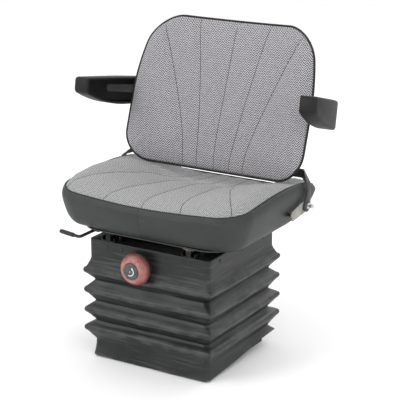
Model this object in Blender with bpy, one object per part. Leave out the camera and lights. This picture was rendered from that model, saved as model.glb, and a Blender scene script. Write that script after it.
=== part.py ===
"""Tractor seat on a bellows-covered scissor suspension.

Metres, +Z up. The origin is on the floor under the middle of the suspension base, and the
sitter faces -Y. Left and right are the sitter's: left is +X, right is -X.
"""
from math import asin, atan2, cos, pi, radians, sin, sqrt

import bmesh
import bpy
from mathutils import Matrix, Vector

# Clearances
GAP = 0.0003                # between pieces that touch
RUNNING_GAP = 0.0003        # round a pin in its hole
ROLLER_GAP = 0.0020         # above and below a roller in its track
OPEN_PIVOT_GAP = 0.0021     # round the upper pivot shaft, where the scissor's loop is opened

# Suspension box
SHEET = 0.003
BASE_WIDTH = 0.300
BASE_DEPTH = 0.286
BASE_FLANGE = 0.012
BASE_BOLT_RADIUS = 0.0045
BASE_BOLT_INSET = 0.020
SUSPENSION_HEIGHT = 0.308   # floor to the top of the upper frame
FRAME_FLANGE = 0.046
TRACK_HEIGHT = 0.036
TRACK_REACH = 0.023
TRACK_LENGTH = 0.279
TRACK_INSET = 0.0045        # from the side of the base to the back of a track
TRAVEL = 0.060
PIVOT_INSET = 0.0145        # both fixed pivots, from the rear end of their tracks
ROLLER_END_GAP = 0.00312103   # lowered roller to the stop at the front of its track

# Scissor arms
ARM_THICK = 0.005
ARM_HALF_WIDTH = 0.014
ARM_TRACK_GAP = 0.002       # outer arm's face to the mouth of its track
ARM_SPACING = 0.018         # between the middles of an outer and an inner arm
PIVOT_SHAFT_RADIUS = 0.007
PIVOT_HEAD_RADIUS = 0.010
PIVOT_HEAD = 0.003
CENTRE_PIN_RADIUS = 0.006
AXLE_RADIUS = 0.005
ROLLER_WIDTH = 0.014
ROLLER_FACE_GAP = 0.0025    # roller's side to the back of its track
CROSS_TUBE_RADIUS = 0.009
OUTER_TUBE_PLACE = 0.060    # cross tubes, from an arm's fixed pivot along the arm
INNER_TUBE_PLACE = 0.045

# Damper
DAMPER_INSET = 0.028        # from the middle of the left inner arm
DAMPER_Y = 0.010
DAMPER_RADIUS = 0.014
DAMPER_WALL = 0.0025
DAMPER_ROD_RADIUS = 0.005
DAMPER_ROD_SHOWN = 0.140    # tube's top to the upper frame
DAMPER_EYE_OFFSET = 0.0135  # eye's axis from the plate it stands on
DAMPER_EYE_RADIUS = 0.008
DAMPER_EAR_X = 0.0050       # half the gap between a bracket's ears
EAR_SHEET = 0.003

# Weight adjuster
SPINDLE_X = -0.020
SPINDLE_DROP = 0.043        # below the top of the upper frame
SPINDLE_RADIUS = 0.006
SPINDLE_REAR = 0.070
SPINDLE_PLATE_RADIUS = 0.024  # bearing plate that hangs from the upper frame
CROSSHEAD_Y = 0.036
CROSSHEAD_THICK = 0.008
CROSSHEAD_END = 0.016       # beyond the springs' axes
CROSSHEAD_ABOVE = 0.012     # and above them
CROSSHEAD_BELOW = 0.011     # below them, and below the spindle
CROSSHEAD_NOSE = 0.012      # half its width at the spindle
SPRING_INSET = 0.0355       # from the inner arm's face to the right spring's axis
SPRING_RADIUS = 0.0115
SPRING_WIRE = 0.0024
SPRING_TURNS = 8
KNOB_RADIUS = 0.040
KNOB_DEPTH = 0.026
KNOB_CAP_RADIUS = 0.0205
COLLAR_RADIUS = 0.032
COLLAR_DEPTH = 0.022

# Bellows
BELLOWS_GAP_X = 0.015       # from the base's edge to the outside of a valley
BELLOWS_GAP_Y = 0.012
BELLOWS_WALL = 0.003
BELLOWS_CORNER = 0.016
BELLOWS_LIP = 0.013
BOX_CORNER_STEPS = 3        # facets of the box's rounded corners, rubber and frame alike
FOLD_DEPTH = 0.019
FOLD_EDGE = 0.003           # half the blunt edge of a fold
# Heights from the top panel's foot down: ridge, valley, ridge and so on, then the skirt's top
FOLD_STEPS = (0.033, 0.026, 0.026, 0.029, 0.023, 0.028, 0.020, 0.031)
SKIRT_TOP = 0.046
SKIRT_FLARE = 0.004
SKIRT_LIFT = 0.034          # how far the skirt has curled up at its rear left corner
SKIRT_CURL = 0.012          # and outwards
RIDGE_SHARPNESS = 0.65      # loss of corner radius for each metre that a fold stands out
FLOOR_CLEARANCE = 0.002

# Slide rails and seat pan
RAIL_LIP_GAP = 0.015        # from the bellows' lip to the rail
RAIL_HEIGHT = 0.017
RAIL_HALF_WIDTH = 0.022
RAIL_SHEET = 0.002
RAIL_SLOT = 0.009           # half the slot between the fixed rail's lips
FIXED_RAIL_LENGTH = 0.282
MOVING_RAIL_LENGTH = 0.320
MOVING_RAIL_HEIGHT = 0.0245
PAN_SHEET = 0.003
PAN_MARGIN = 0.058          # inside the seat's widest outline
PAN_FRONT = -0.160
PAN_REAR = 0.125
PAN_CORNER = 0.060

# Seat cushion
SEAT_HALF_WIDTH = 0.266
SEAT_FRONT = -0.184
SEAT_REAR = 0.262
SEAT_CORNER_FRONT = 0.070
SEAT_CORNER_REAR = 0.085
SEAT_FRONT_BOW = 0.020
BAND_WALL = 0.004
BAND_SEAM_INSET = 0.006
BAND_TUCK = 0.048
HEM_CLEARANCE = 0.0007      # above the pan
HEM_RISE = 0.034
HEM_RISE_START = 0.100
SEAM_FRONT = 0.0812
SEAM_DROP_HALF = 0.040      # from the side to where the front seam has risen to its corner
BOLSTER_TOP = 0.046         # from the side to where it is fully raised
BOLSTER_FOOT = 0.216        # and to where the middle begins
ROLL_WIDTH = 0.022          # rolled edge of the fabric, from its seam
# Heights above the hem from front to rear: fabric along the raised sides, down the middle, seam
SIDE_LINE = ((-0.16, 0.1062), (-0.11, 0.1152), (-0.05, 0.1202), (0.02, 0.1182), (0.07, 0.1112),
             (0.12, 0.1002), (0.16, 0.0942), (0.20, 0.0872), (0.25, 0.0632))
MIDDLE_LINE = ((-0.18, 0.0992), (-0.13, 0.1022), (-0.05, 0.0972), (0.05, 0.0872), (0.11, 0.0742),
               (0.15, 0.0632), (0.20, 0.0512), (0.25, 0.0432))
SEAM_LINE = ((-0.16, 0.0932), (-0.05, 0.1042), (0.03, 0.1092), (0.10, 0.1072), (0.157, 0.1012),
             (0.20, 0.0832), (0.25, 0.0532), (0.262, 0.0492))

# Backrest
BACK_FOOT_Y = 0.145
BACK_FOOT_RISE = 0.0902     # above the hem
BACK_TILT = radians(18.9)
BACK_LOW = 0.006
BACK_HEIGHT = 0.392
BACK_MARGIN = 0.0065        # inside the seat's widest outline
BACK_WIDEST = 0.170
BACK_TAPER = 0.80
BACK_CORNER_FOOT = 0.055
BACK_CORNER_TOP = 0.082
BACK_WRAP = 0.030
PIPING_RADIUS = 0.0035
SHELL_EDGE = 0.018
SHELL_BULGE = 0.034
SHELL_WALL = 0.003
# Shell from its rim to its middle: inset, and share of the depth there
SHELL_SHAPE = ((0.002, 0.30), (0.008, 0.62), (0.024, 0.86), (0.060, 1.0), (0.110, 1.0), (0.165, 1.0))

# Recliner
RECLINE_Y = 0.138
RECLINE_RISE = 0.0502       # above the hem
RECLINER_SHEET = 0.003
RECLINER_GAP = 0.002        # from the seat's side to the bracket's plate
HINGE_ARM_SHEET = 0.004
HINGE_EYE_RADIUS = 0.016
RECLINE_PIN_RADIUS = 0.005
STRAP_V = 0.036             # middle of the hinge arm's strap, up the backrest
STRAP_HALF = 0.011
STRAP_INNER_INSET = 0.0645  # strap's ends, from the backrest's side
STRAP_OUTER_INSET = 0.0135
ARM_BEND_RISE = 0.1022      # above the hem, where the arm leans inwards over the seat's edge
ARM_HALF = 0.009
ARM_LEAN = 0.008            # how far behind the recline axis the arm bends
ARM_BEND_LENGTH = 0.018
BRACKET_FRONT_Y = 0.073
BRACKET_FRONT_RISE = 0.0405 # above the hem
BRACKET_FOOT_INSET = 0.032  # from the pan's half width
BRACKET_LEG_INSET = 0.0144
BRACKET_LEG_HALF = 0.0105
RECLINE_LEVER_LENGTH = 0.110
RECLINE_LEVER_RISE = 0.006
RECLINE_LEVER_EYE = 0.010
RECLINE_LEVER_TIP = 0.009

# Armrests
ARMREST_V = 0.192           # pivot's place up the backrest
ARMREST_W = -0.035          # and behind its edge plane
ARMREST_LUG_GAP = 0.0045    # from the backrest's side
ARMREST_OFFSET = 0.0085     # pad's inner face from the lug
ARMREST_REACH = 0.250
ARMREST_TAIL = 0.022
ARMREST_WIDTH = 0.043
ARMREST_TAIL_WIDTH = 0.011
ARMREST_TAPER_END = 0.110
ARMREST_SWEEP = 0.060       # where the underside starts to rise to the nose
ARMREST_ABOVE = 0.033
ARMREST_BELOW = 0.039
ARMREST_NOSE = 0.038
ARMREST_WALL = 0.005
ARMREST_BAR = 0.150
ARMREST_EYE_RADIUS = 0.011
ARMREST_BOLT_RADIUS = 0.004
ARMREST_LUG_RADIUS = 0.0145
ARMREST_STRAP_HALF = 0.013
ARMREST_STRAP_INSET = 0.1715  # strap's inner end, from the backrest's side
ARMREST_PITCH = {"right": 9.2, "left": 15.0}
ARMREST_SPLAY = {"right": 0.4, "left": 8.8}

# Slide lever
LEVER_INSET = 0.035         # from the pan's half width
LEVER_DROP = 0.0091         # below the pan
LEVER_RADIUS = 0.004
LEVER_BEND_Y = -0.197
LEVER_REACH = 0.058
LEVER_LIFT = 0.006
LEVER_GRIP_RADIUS = 0.0056
LEVER_REAR = 0.006
LEVER_CLIPS_Y = (-0.030, -0.120)

SIDES = (("left", 1), ("right", -1))
ROUND = 16                  # sides of small round pieces

# Places worked out from the sizes above
base_track_foot = SHEET + GAP
lower_pivot_z = base_track_foot + TRACK_HEIGHT / 2
frame_underside = SUSPENSION_HEIGHT - SHEET
upper_track_foot = frame_underside - GAP - TRACK_HEIGHT
upper_pivot_z = upper_track_foot + TRACK_HEIGHT / 2
pivot_rise = upper_pivot_z - lower_pivot_z
pivot_y = TRACK_LENGTH / 2 - PIVOT_INSET
roller_radius = TRACK_HEIGHT / 2 - SHEET - ROLLER_GAP
roller_y_down = -TRACK_LENGTH / 2 + SHEET + roller_radius + ROLLER_END_GAP
arm_length = sqrt((pivot_y - roller_y_down) ** 2 + (pivot_rise - TRAVEL) ** 2)
roller_y = pivot_y - sqrt(arm_length ** 2 - pivot_rise ** 2)
track_back = BASE_WIDTH / 2 - TRACK_INSET
track_mouth = track_back - TRACK_REACH
outer_arm_x = track_mouth - ARM_TRACK_GAP - ARM_THICK / 2
inner_arm_x = outer_arm_x - ARM_SPACING
damper_x = inner_arm_x - DAMPER_INSET
damper_tube_top = frame_underside - DAMPER_ROD_SHOWN
spindle_z = SUSPENSION_HEIGHT - SPINDLE_DROP
spring_spacing = inner_arm_x - ARM_THICK / 2 - SPRING_INSET - abs(SPINDLE_X)
roller_outer = track_back - SHEET - ROLLER_FACE_GAP
roller_inner = roller_outer - ROLLER_WIDTH
bellows_half_x = BASE_WIDTH / 2 + BELLOWS_GAP_X
bellows_front = -BASE_DEPTH / 2 - BELLOWS_GAP_Y
frame_half_x = bellows_half_x - BELLOWS_WALL - GAP
frame_half_y = -bellows_front - BELLOWS_WALL - GAP
top_panel_foot = SUSPENSION_HEIGHT - FRAME_FLANGE
fold_stretch = (top_panel_foot - SKIRT_TOP) / sum(FOLD_STEPS)
fold_heights = [top_panel_foot - fold_stretch * sum(FOLD_STEPS[:i + 1]) for i in range(7)]
rail_x = bellows_half_x - BELLOWS_LIP - RAIL_LIP_GAP - RAIL_HALF_WIDTH
lip_top = SUSPENSION_HEIGHT + GAP + BELLOWS_WALL
rail_foot = SUSPENSION_HEIGHT + GAP
pan_foot = rail_foot + MOVING_RAIL_HEIGHT + GAP
pan_top = pan_foot + PAN_SHEET
pan_half_width = SEAT_HALF_WIDTH - PAN_MARGIN
hem_height = pan_top + HEM_CLEARANCE
recline_z = hem_height + RECLINE_RISE
recliner_x = SEAT_HALF_WIDTH + RECLINER_GAP
bracket_front_z = hem_height + BRACKET_FRONT_RISE
bracket_foot_x = pan_half_width - BRACKET_FOOT_INSET
bracket_leg_x = pan_half_width - BRACKET_LEG_INSET
arm_plate_x = recliner_x + RECLINER_SHEET + GAP
arm_bend_z = hem_height + ARM_BEND_RISE
back_half = SEAT_HALF_WIDTH - BACK_MARGIN
strap_outer_x = back_half - STRAP_OUTER_INSET
strap_inner_x = back_half - STRAP_INNER_INSET
armrest_lug_x = back_half + ARMREST_LUG_GAP
armrest_strap_x = back_half - ARMREST_STRAP_INSET
lever_x = LEVER_INSET - pan_half_width
slide_lever_z = pan_foot - LEVER_DROP
back_up = Vector((0, sin(BACK_TILT), cos(BACK_TILT)))
back_out = Vector((0, -cos(BACK_TILT), sin(BACK_TILT)))
back_foot = Vector((0, BACK_FOOT_Y, hem_height + BACK_FOOT_RISE))
shell_rim = PIPING_RADIUS * sin(pi / 3) + GAP
lever_z = bracket_front_z + 0.004
armrest_pivot = back_foot + back_up * ARMREST_V + back_out * ARMREST_W


# Scene, materials and bodies

def clear_scene():
    for item in list(bpy.data.objects):
        bpy.data.objects.remove(item, do_unlink=True)
    for item in list(bpy.data.meshes):
        bpy.data.meshes.remove(item)
    for item in list(bpy.data.materials):
        bpy.data.materials.remove(item)


def finish(name, colour, roughness, metallic=0.0):
    material = bpy.data.materials.new(name)
    material.use_nodes = True
    shader = material.node_tree.nodes["Principled BSDF"]
    shader.inputs["Base Color"].default_value = (*colour, 1.0)
    shader.inputs["Roughness"].default_value = roughness
    shader.inputs["Metallic"].default_value = metallic
    return material


def body(name, location, parent=None):
    """An empty on a joint's axis, which the pieces of one moving body hang from."""
    empty = bpy.data.objects.new(name, None)
    bpy.context.collection.objects.link(empty)
    empty.parent = parent
    offset = parent["place"] if parent else (0, 0, 0)
    empty.location = [a - b for a, b in zip(location, offset)]
    empty["place"] = location
    return empty


def add(name, mesh, material, carrier=None):
    """Turn a bmesh into a named, outward-facing object that hangs from its body."""
    bmesh.ops.recalc_face_normals(mesh, faces=mesh.faces)
    if mesh.calc_volume(signed=True) < 0:
        bmesh.ops.reverse_faces(mesh, faces=mesh.faces)
    data = bpy.data.meshes.new(name)
    mesh.to_mesh(data)
    mesh.free()
    item = bpy.data.objects.new(name, data)
    item.data.materials.append(material)
    bpy.context.collection.objects.link(item)
    data.shade_smooth()
    data.set_sharp_from_angle(angle=radians(40))
    if carrier:
        item.parent = carrier
        item.matrix_parent_inverse = Matrix.Translation([-c for c in carrier["place"]])
    return item


def combine(item, other, operation):
    """Boolean one object with a hidden tool made from a bmesh."""
    tool = add(item.name + "_" + operation.lower(), other, item.data.materials[0])
    tool.hide_render = True
    tool.display_type = "WIRE"
    change = item.modifiers.new(operation.title(), "BOOLEAN")
    change.operation = operation
    change.object = tool
    change.solver = "EXACT"
    return item


def cut(item, cutter):
    return combine(item, cutter, "DIFFERENCE")


# Shapes

def skin(rings, closed=False, even_caps=False):
    """Faces over a row of equal rings: capped at both ends, or closed on itself.

    Every diagonal rises from ring to ring the same way, so that two skins that lie along each
    other keep their clearance where their faces are twisted. Even caps are cut into compact
    triangles, which a curved cap needs.
    """
    mesh = bmesh.new()
    loops = [[mesh.verts.new(point) for point in ring] for ring in rings]
    count = len(loops[0])
    pairs = list(zip(loops, loops[1:]))
    if closed:
        pairs.append((loops[-1], loops[0]))
    for low, high in pairs:
        if sum(v.co.z for v in low) > sum(v.co.z for v in high):
            low, high = high, low
        for i in range(count):
            j = (i + 1) % count
            mesh.faces.new((low[i], low[j], high[j]))
            mesh.faces.new((low[i], high[j], high[i]))
    if not closed:
        caps = [mesh.faces.new(list(reversed(loops[0]))), mesh.faces.new(loops[-1])]
        if even_caps:
            bmesh.ops.triangulate(mesh, faces=caps, quad_method="BEAUTY", ngon_method="BEAUTY")
    return mesh


def on_axis(axis, a, b, along):
    """A point with coordinates a and b across an axis, and one along it."""
    return {"x": (along, a, b), "y": (b, along, a), "z": (a, b, along)}[axis]


def circle(axis, centre, radius, along, sides=ROUND):
    return [on_axis(axis, centre[0] + radius * cos(2 * pi * i / sides),
                    centre[1] + radius * sin(2 * pi * i / sides), along) for i in range(sides)]


def turned(axis, centre, profile, sides=ROUND, closed=False):
    """Revolve (radius, place along the axis) points; centre is across the axis."""
    return skin([circle(axis, centre, radius, along, sides) for radius, along in profile], closed)


def rod(axis, centre, radius, start, end, sides=ROUND):
    return turned(axis, centre, ((radius, start), (radius, end)), sides)


def extruded(axis, outline, start, end):
    return skin([[on_axis(axis, a, b, along) for a, b in outline] for along in (start, end)])


def block(low, high):
    outline = ((low[0], low[1]), (high[0], low[1]), (high[0], high[1]), (low[0], high[1]))
    return extruded("z", outline, low[2], high[2])


def merged(*meshes):
    """Several separate solids in one bmesh."""
    result = bmesh.new()
    for mesh in meshes:
        data = bpy.data.meshes.new("merge")
        bmesh.ops.recalc_face_normals(mesh, faces=mesh.faces)
        mesh.to_mesh(data)
        mesh.free()
        result.from_mesh(data)
        bpy.data.meshes.remove(data)
    return result


def moved(mesh, matrix):
    bmesh.ops.transform(mesh, matrix=matrix, verts=mesh.verts)
    return mesh


def link_outline(start, start_radius, end, end_radius, steps=7):
    """The outline round two circles and the straight sides that join them."""
    heading = atan2(end[1] - start[1], end[0] - start[0])
    length = sqrt((end[0] - start[0]) ** 2 + (end[1] - start[1]) ** 2)
    lean = asin((start_radius - end_radius) / length)
    points = []
    for (centre, radius, first, sweep) in (
            (start, start_radius, heading + pi / 2 - lean, pi + 2 * lean),
            (end, end_radius, heading - pi / 2 + lean, pi - 2 * lean)):
        for i in range(steps + 1):
            angle = first + sweep * i / steps
            points.append((centre[0] + radius * cos(angle), centre[1] + radius * sin(angle)))
    return points


def rounded_plan(half_x, front, rear, front_radius, rear_radius, inset=0.0, bow=0.0,
                 corner_steps=4, edge_steps=4):
    """A rounded plan outline with the same number of points at any inset."""
    half = half_x - inset
    low, high = front + inset, rear - inset
    corners = ((-1, low, max(front_radius - inset, 0.004), pi),
               (1, low, max(front_radius - inset, 0.004), 1.5 * pi),
               (1, high, max(rear_radius - inset, 0.004), 0.0),
               (-1, high, max(rear_radius - inset, 0.004), 0.5 * pi))
    arcs = []
    for side, y, radius, first in corners:
        centre = (side * (half - radius), y + radius if y == low else y - radius)
        arcs.append([(centre[0] + radius * cos(first + pi / 2 * i / corner_steps),
                      centre[1] + radius * sin(first + pi / 2 * i / corner_steps))
                     for i in range(corner_steps + 1)])
    points = []
    for arc, following in zip(arcs, arcs[1:] + arcs[:1]):
        points.extend(arc)
        for i in range(1, edge_steps):
            share = i / edge_steps
            points.append(tuple(a + (b - a) * share for a, b in zip(arc[-1], following[0])))
    middle = (low + high) / 2
    return [(x, y - bow * (1 - (x / half) ** 2) if y < middle - (middle - low) * 0.6 else y)
            for x, y in points]


def smooth(value, start, end):
    share = min(max((value - start) / (end - start), 0.0), 1.0)
    return share * share * (3 - 2 * share)


def tube_along(points, radii, sides=8):
    """A round tube along a row of points, with its rings turned as little as possible."""
    points = [Vector(p) for p in points]
    rings = []
    across = None
    for i, (point, radius) in enumerate(zip(points, radii)):
        ahead = (points[min(i + 1, len(points) - 1)] - points[max(i - 1, 0)]).normalized()
        if across is None:
            across = ahead.orthogonal().normalized()
        across = (across - ahead * across.dot(ahead)).normalized()
        beside = ahead.cross(across)
        rings.append([point + radius * (cos(2 * pi * k / sides) * across
                                        + sin(2 * pi * k / sides) * beside)
                      for k in range(sides)])
    return skin(rings)


def rounded_path(points, radius, steps=4):
    """A path through corner points, each corner replaced by a curve."""
    points = [Vector(p) for p in points]
    path = [points[0]]
    for before, corner, after in zip(points, points[1:], points[2:]):
        start = corner + (before - corner).normalized() * radius
        end = corner + (after - corner).normalized() * radius
        for i in range(steps + 1):
            t = i / steps
            path.append((1 - t) ** 2 * start + 2 * t * (1 - t) * corner + t * t * end)
    path.append(points[-1])
    return path


def between(start, end, share):
    return tuple(a + (b - a) * share for a, b in zip(start, end))


# Suspension base

def track_outline(foot, side):
    """C section open towards the middle of the seat, in X and Z."""
    back, mouth = side * track_back, side * track_mouth
    inner = side * (track_back - SHEET)
    top = foot + TRACK_HEIGHT
    return ((foot, mouth), (foot, back), (top, back), (top, mouth),
            (top - SHEET, mouth), (top - SHEET, inner), (foot + SHEET, inner), (foot + SHEET, mouth))


def make_base(carrier, steel, zinc):
    half_x, half_y = BASE_WIDTH / 2, BASE_DEPTH / 2
    tray = ((-half_y, 0), (half_y, 0), (half_y, BASE_FLANGE), (half_y - SHEET, BASE_FLANGE),
            (half_y - SHEET, SHEET), (-half_y + SHEET, SHEET), (-half_y + SHEET, BASE_FLANGE),
            (-half_y, BASE_FLANGE))
    plate = add("base_plate", extruded("x", tray, -half_x, half_x), steel, carrier)
    bolt_x = inner_arm_x - BASE_BOLT_INSET
    bolt_y = half_y - BASE_BOLT_INSET
    holes = [rod("z", (sx * bolt_x, sy * bolt_y), BASE_BOLT_RADIUS, -SHEET, 2 * SHEET, 12)
             for sx in (-1, 1) for sy in (-1, 1)]
    cut(plate, merged(*holes))

    for name, side in SIDES:
        track = add("lower_track_" + name,
                    extruded("y", track_outline(base_track_foot, side),
                             -TRACK_LENGTH / 2, TRACK_LENGTH / 2), steel, carrier)
        cut(track, rod("x", (pivot_y, lower_pivot_z), PIVOT_SHAFT_RADIUS + RUNNING_GAP,
                       side * (track_mouth + SHEET), side * (track_back + SHEET)))
        ends = sorted((side * track_mouth, side * (track_back - SHEET / 2)))
        front = -TRACK_LENGTH / 2
        combine(track, block((ends[0], front, base_track_foot + SHEET / 2),
                             (ends[1], front + SHEET, base_track_foot + TRACK_HEIGHT - SHEET / 2)),
                "UNION")
    add("lower_pivot_shaft", pivot_shaft(lower_pivot_z), zinc, carrier)

    return plate


def pivot_shaft(height):
    """Cross shaft with a head outside each track."""
    seat = track_back + GAP
    head = seat + PIVOT_HEAD
    profile = ((PIVOT_HEAD_RADIUS, -head), (PIVOT_HEAD_RADIUS, -seat), (PIVOT_SHAFT_RADIUS, -seat),
               (PIVOT_SHAFT_RADIUS, seat), (PIVOT_HEAD_RADIUS, seat), (PIVOT_HEAD_RADIUS, head))
    return turned("x", (pivot_y, height), profile)


def damper_bracket(foot, direction):
    """U bracket whose ears hold the damper's eye, with its riveted pin."""
    half, ear = DAMPER_EAR_X + EAR_SHEET, EAR_SHEET
    height = SHEET / 2 + DAMPER_EYE_OFFSET + DAMPER_EYE_RADIUS
    level = [foot + direction * z for z in (0, height, height, ear, ear, height, height, 0)]
    reach = (-half, -half, -half + ear, -half + ear, half - ear, half - ear, half, half)
    outline = [(z, damper_x + x) for x, z in zip(reach, level)]
    return extruded("y", outline, DAMPER_Y - 0.010, DAMPER_Y + 0.010)


def damper_pin(height):
    reach = DAMPER_EAR_X + EAR_SHEET
    profile = ((0.0065, damper_x - reach - 0.002), (0.0065, damper_x - reach + 0.001),
               (AXLE_RADIUS, damper_x - reach + 0.001), (AXLE_RADIUS, damper_x + reach - 0.001),
               (0.0065, damper_x + reach - 0.001), (0.0065, damper_x + reach + 0.002))
    return turned("x", (DAMPER_Y, height), profile, 12)


def damper_eye(height, reach):
    """Flat eye from the pin to the damper's end."""
    outline = link_outline((DAMPER_Y, height), DAMPER_EYE_RADIUS, (DAMPER_Y, reach), 0.006, 5)
    half = DAMPER_EAR_X - GAP
    return extruded("x", outline, damper_x - half, damper_x + half)


def make_damper(plate, frame, base, top, black, zinc):
    """Damper between two brackets welded to the base and to the upper frame."""
    place = (damper_x, DAMPER_Y)
    hole = AXLE_RADIUS + RUNNING_GAP
    low_eye = SHEET + DAMPER_EYE_OFFSET
    high_eye = frame_underside - DAMPER_EYE_OFFSET
    for carrier, start, direction, eye in ((plate, SHEET / 2, 1, low_eye),
                                           (frame, frame_underside + SHEET / 2, -1, high_eye)):
        combine(carrier, damper_bracket(start, direction), "UNION")
        combine(carrier, damper_pin(eye), "UNION")

    inner = DAMPER_RADIUS - DAMPER_WALL
    bottom = low_eye + DAMPER_EYE_OFFSET - 0.001
    guide = DAMPER_ROD_RADIUS + RUNNING_GAP
    profile = ((DAMPER_RADIUS, bottom), (DAMPER_RADIUS, damper_tube_top), (guide, damper_tube_top),
               (guide, damper_tube_top - SHEET), (inner, damper_tube_top - SHEET),
               (inner, bottom + SHEET))
    tube = add("damper_tube", turned("z", place, profile), black, base)
    combine(tube, damper_eye(low_eye, bottom + 0.001), "UNION")
    cut(tube, rod("x", (DAMPER_Y, low_eye), hole, damper_x - 0.02, damper_x + 0.02, 12))

    piston = bottom + SHEET + TRAVEL + 0.006
    profile = ((inner - RUNNING_GAP, piston), (inner - RUNNING_GAP, piston + 0.010),
               (DAMPER_ROD_RADIUS, piston + 0.010), (DAMPER_ROD_RADIUS, high_eye - 0.008))
    shaft = add("damper_rod", turned("z", place, profile), zinc, top)
    combine(shaft, damper_eye(high_eye, high_eye - 0.012), "UNION")
    cut(shaft, rod("x", (DAMPER_Y, high_eye), hole, damper_x - 0.02, damper_x + 0.02, 12))


# Scissor

def make_scissor(outer, inner, upper_wheels, lower_wheels, steel, zinc, nylon):
    """Outer arms rise from the rear of the base, inner arms fall from the rear of the top."""
    low_rear, high_rear = (pivot_y, lower_pivot_z), (pivot_y, upper_pivot_z)
    low_front, high_front = (roller_y, lower_pivot_z), (roller_y, upper_pivot_z)
    centre = between(low_rear, high_front, 0.5)
    shaft_hole = PIVOT_SHAFT_RADIUS + RUNNING_GAP
    open_hole = PIVOT_SHAFT_RADIUS + OPEN_PIVOT_GAP
    for label, x, start, end, hole, tube_place, carrier in (
            ("outer_arm_", outer_arm_x, low_rear, high_front, shaft_hole, OUTER_TUBE_PLACE, outer),
            ("inner_arm_", inner_arm_x, high_rear, low_front, open_hole, INNER_TUBE_PLACE, inner)):
        for name, side in SIDES:
            near, far = sorted((side * (x - ARM_THICK / 2), side * (x + ARM_THICK / 2)))
            outline = link_outline(start, ARM_HALF_WIDTH, end, ARM_HALF_WIDTH)
            arm = add(label + name, extruded("x", outline, near, far), steel, carrier)
            holes = [rod("x", spot, radius, near - 0.01, far + 0.01)
                     for spot, radius in ((start, hole), (end, AXLE_RADIUS + GAP),
                                          (centre, CENTRE_PIN_RADIUS + RUNNING_GAP))]
            cut(arm, merged(*holes))
        tube = between(start, end, tube_place / arm_length)
        reach = x - ARM_THICK / 2 - GAP
        bore = CROSS_TUBE_RADIUS - 0.002
        add(label + "cross_tube",
            turned("x", tube, ((CROSS_TUBE_RADIUS, -reach), (CROSS_TUBE_RADIUS, reach),
                               (bore, reach), (bore, -reach)), closed=True), steel, carrier)

    for name, side in SIDES:
        inner_face = inner_arm_x - ARM_THICK / 2 - GAP
        outer_face = outer_arm_x + ARM_THICK / 2 + GAP
        collar = (inner_arm_x + ARM_THICK / 2 + GAP, outer_arm_x - ARM_THICK / 2 - GAP)
        big = CENTRE_PIN_RADIUS + 0.004
        profile = ((big, inner_face - 0.003), (big, inner_face), (CENTRE_PIN_RADIUS, inner_face),
                   (CENTRE_PIN_RADIUS, collar[0]), (big, collar[0]), (big, collar[1]),
                   (CENTRE_PIN_RADIUS, collar[1]), (CENTRE_PIN_RADIUS, outer_face),
                   (big, outer_face), (big, outer_face + 0.003))
        add("centre_pin_" + name, turned("x", centre, [(r, side * x) for r, x in profile], 12),
            zinc, outer)

    for label, spot, arm, wheels in (("upper_", high_front, outer, upper_wheels),
                                     ("lower_", low_front, inner, lower_wheels)):
        tip = roller_outer + GAP
        head = AXLE_RADIUS + 0.003
        profile = ((head, -tip - 0.0015), (head, -tip), (AXLE_RADIUS, -tip), (AXLE_RADIUS, tip),
                   (head, tip), (head, tip + 0.0015))
        add(label + "axle", turned("x", spot, profile, 12), zinc, arm)
        bore = AXLE_RADIUS + RUNNING_GAP
        edge = 0.0015
        wheel = ((roller_radius - edge, roller_inner), (roller_radius, roller_inner + edge),
                 (roller_radius, roller_outer - edge), (roller_radius - edge, roller_outer),
                 (bore, roller_outer), (bore, roller_inner))
        for name, side in SIDES:
            add(label + "roller_" + name, turned("x", spot, [(r, side * a) for r, a in wheel], 20, True),
                nylon, wheels)


# Upper frame and weight adjuster

def make_top_frame(carrier, steel, zinc):
    plan = {"half_x": frame_half_x, "front": -frame_half_y, "rear": frame_half_y,
            "front_radius": BELLOWS_CORNER - BELLOWS_WALL, "rear_radius": BELLOWS_CORNER - BELLOWS_WALL,
            "corner_steps": BOX_CORNER_STEPS, "edge_steps": 1}
    foot = SUSPENSION_HEIGHT - FRAME_FLANGE
    rings = [[(x, y, z) for x, y in rounded_plan(inset=inset, **plan)]
             for inset, z in ((SHEET, frame_underside), (SHEET, foot), (0, foot), (0, SUSPENSION_HEIGHT))]
    frame = add("top_frame", skin(rings), steel, carrier)

    for name, side in SIDES:
        track = add("upper_track_" + name,
                    extruded("y", track_outline(upper_track_foot, side),
                             -TRACK_LENGTH / 2, TRACK_LENGTH / 2), steel, carrier)
        cut(track, rod("x", (pivot_y, upper_pivot_z), PIVOT_SHAFT_RADIUS + RUNNING_GAP,
                       side * (track_mouth + SHEET), side * (track_back + SHEET)))
    add("upper_pivot_shaft", pivot_shaft(upper_pivot_z), zinc, carrier)

    back = -frame_half_y + SHEET / 2
    outline = link_outline((spindle_z, SPINDLE_X), SPINDLE_PLATE_RADIUS,
                           (frame_underside - SPINDLE_PLATE_RADIUS, SPINDLE_X), SPINDLE_PLATE_RADIUS)
    outline = [(min(z, frame_underside + SHEET / 2), x) for z, x in outline]
    combine(frame, extruded("y", outline, back, back + 1.5 * SHEET), "UNION")
    cut(frame, rod("y", (spindle_z, SPINDLE_X), SPINDLE_RADIUS + RUNNING_GAP, back - 0.01, back + 0.01))
    return frame


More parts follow.
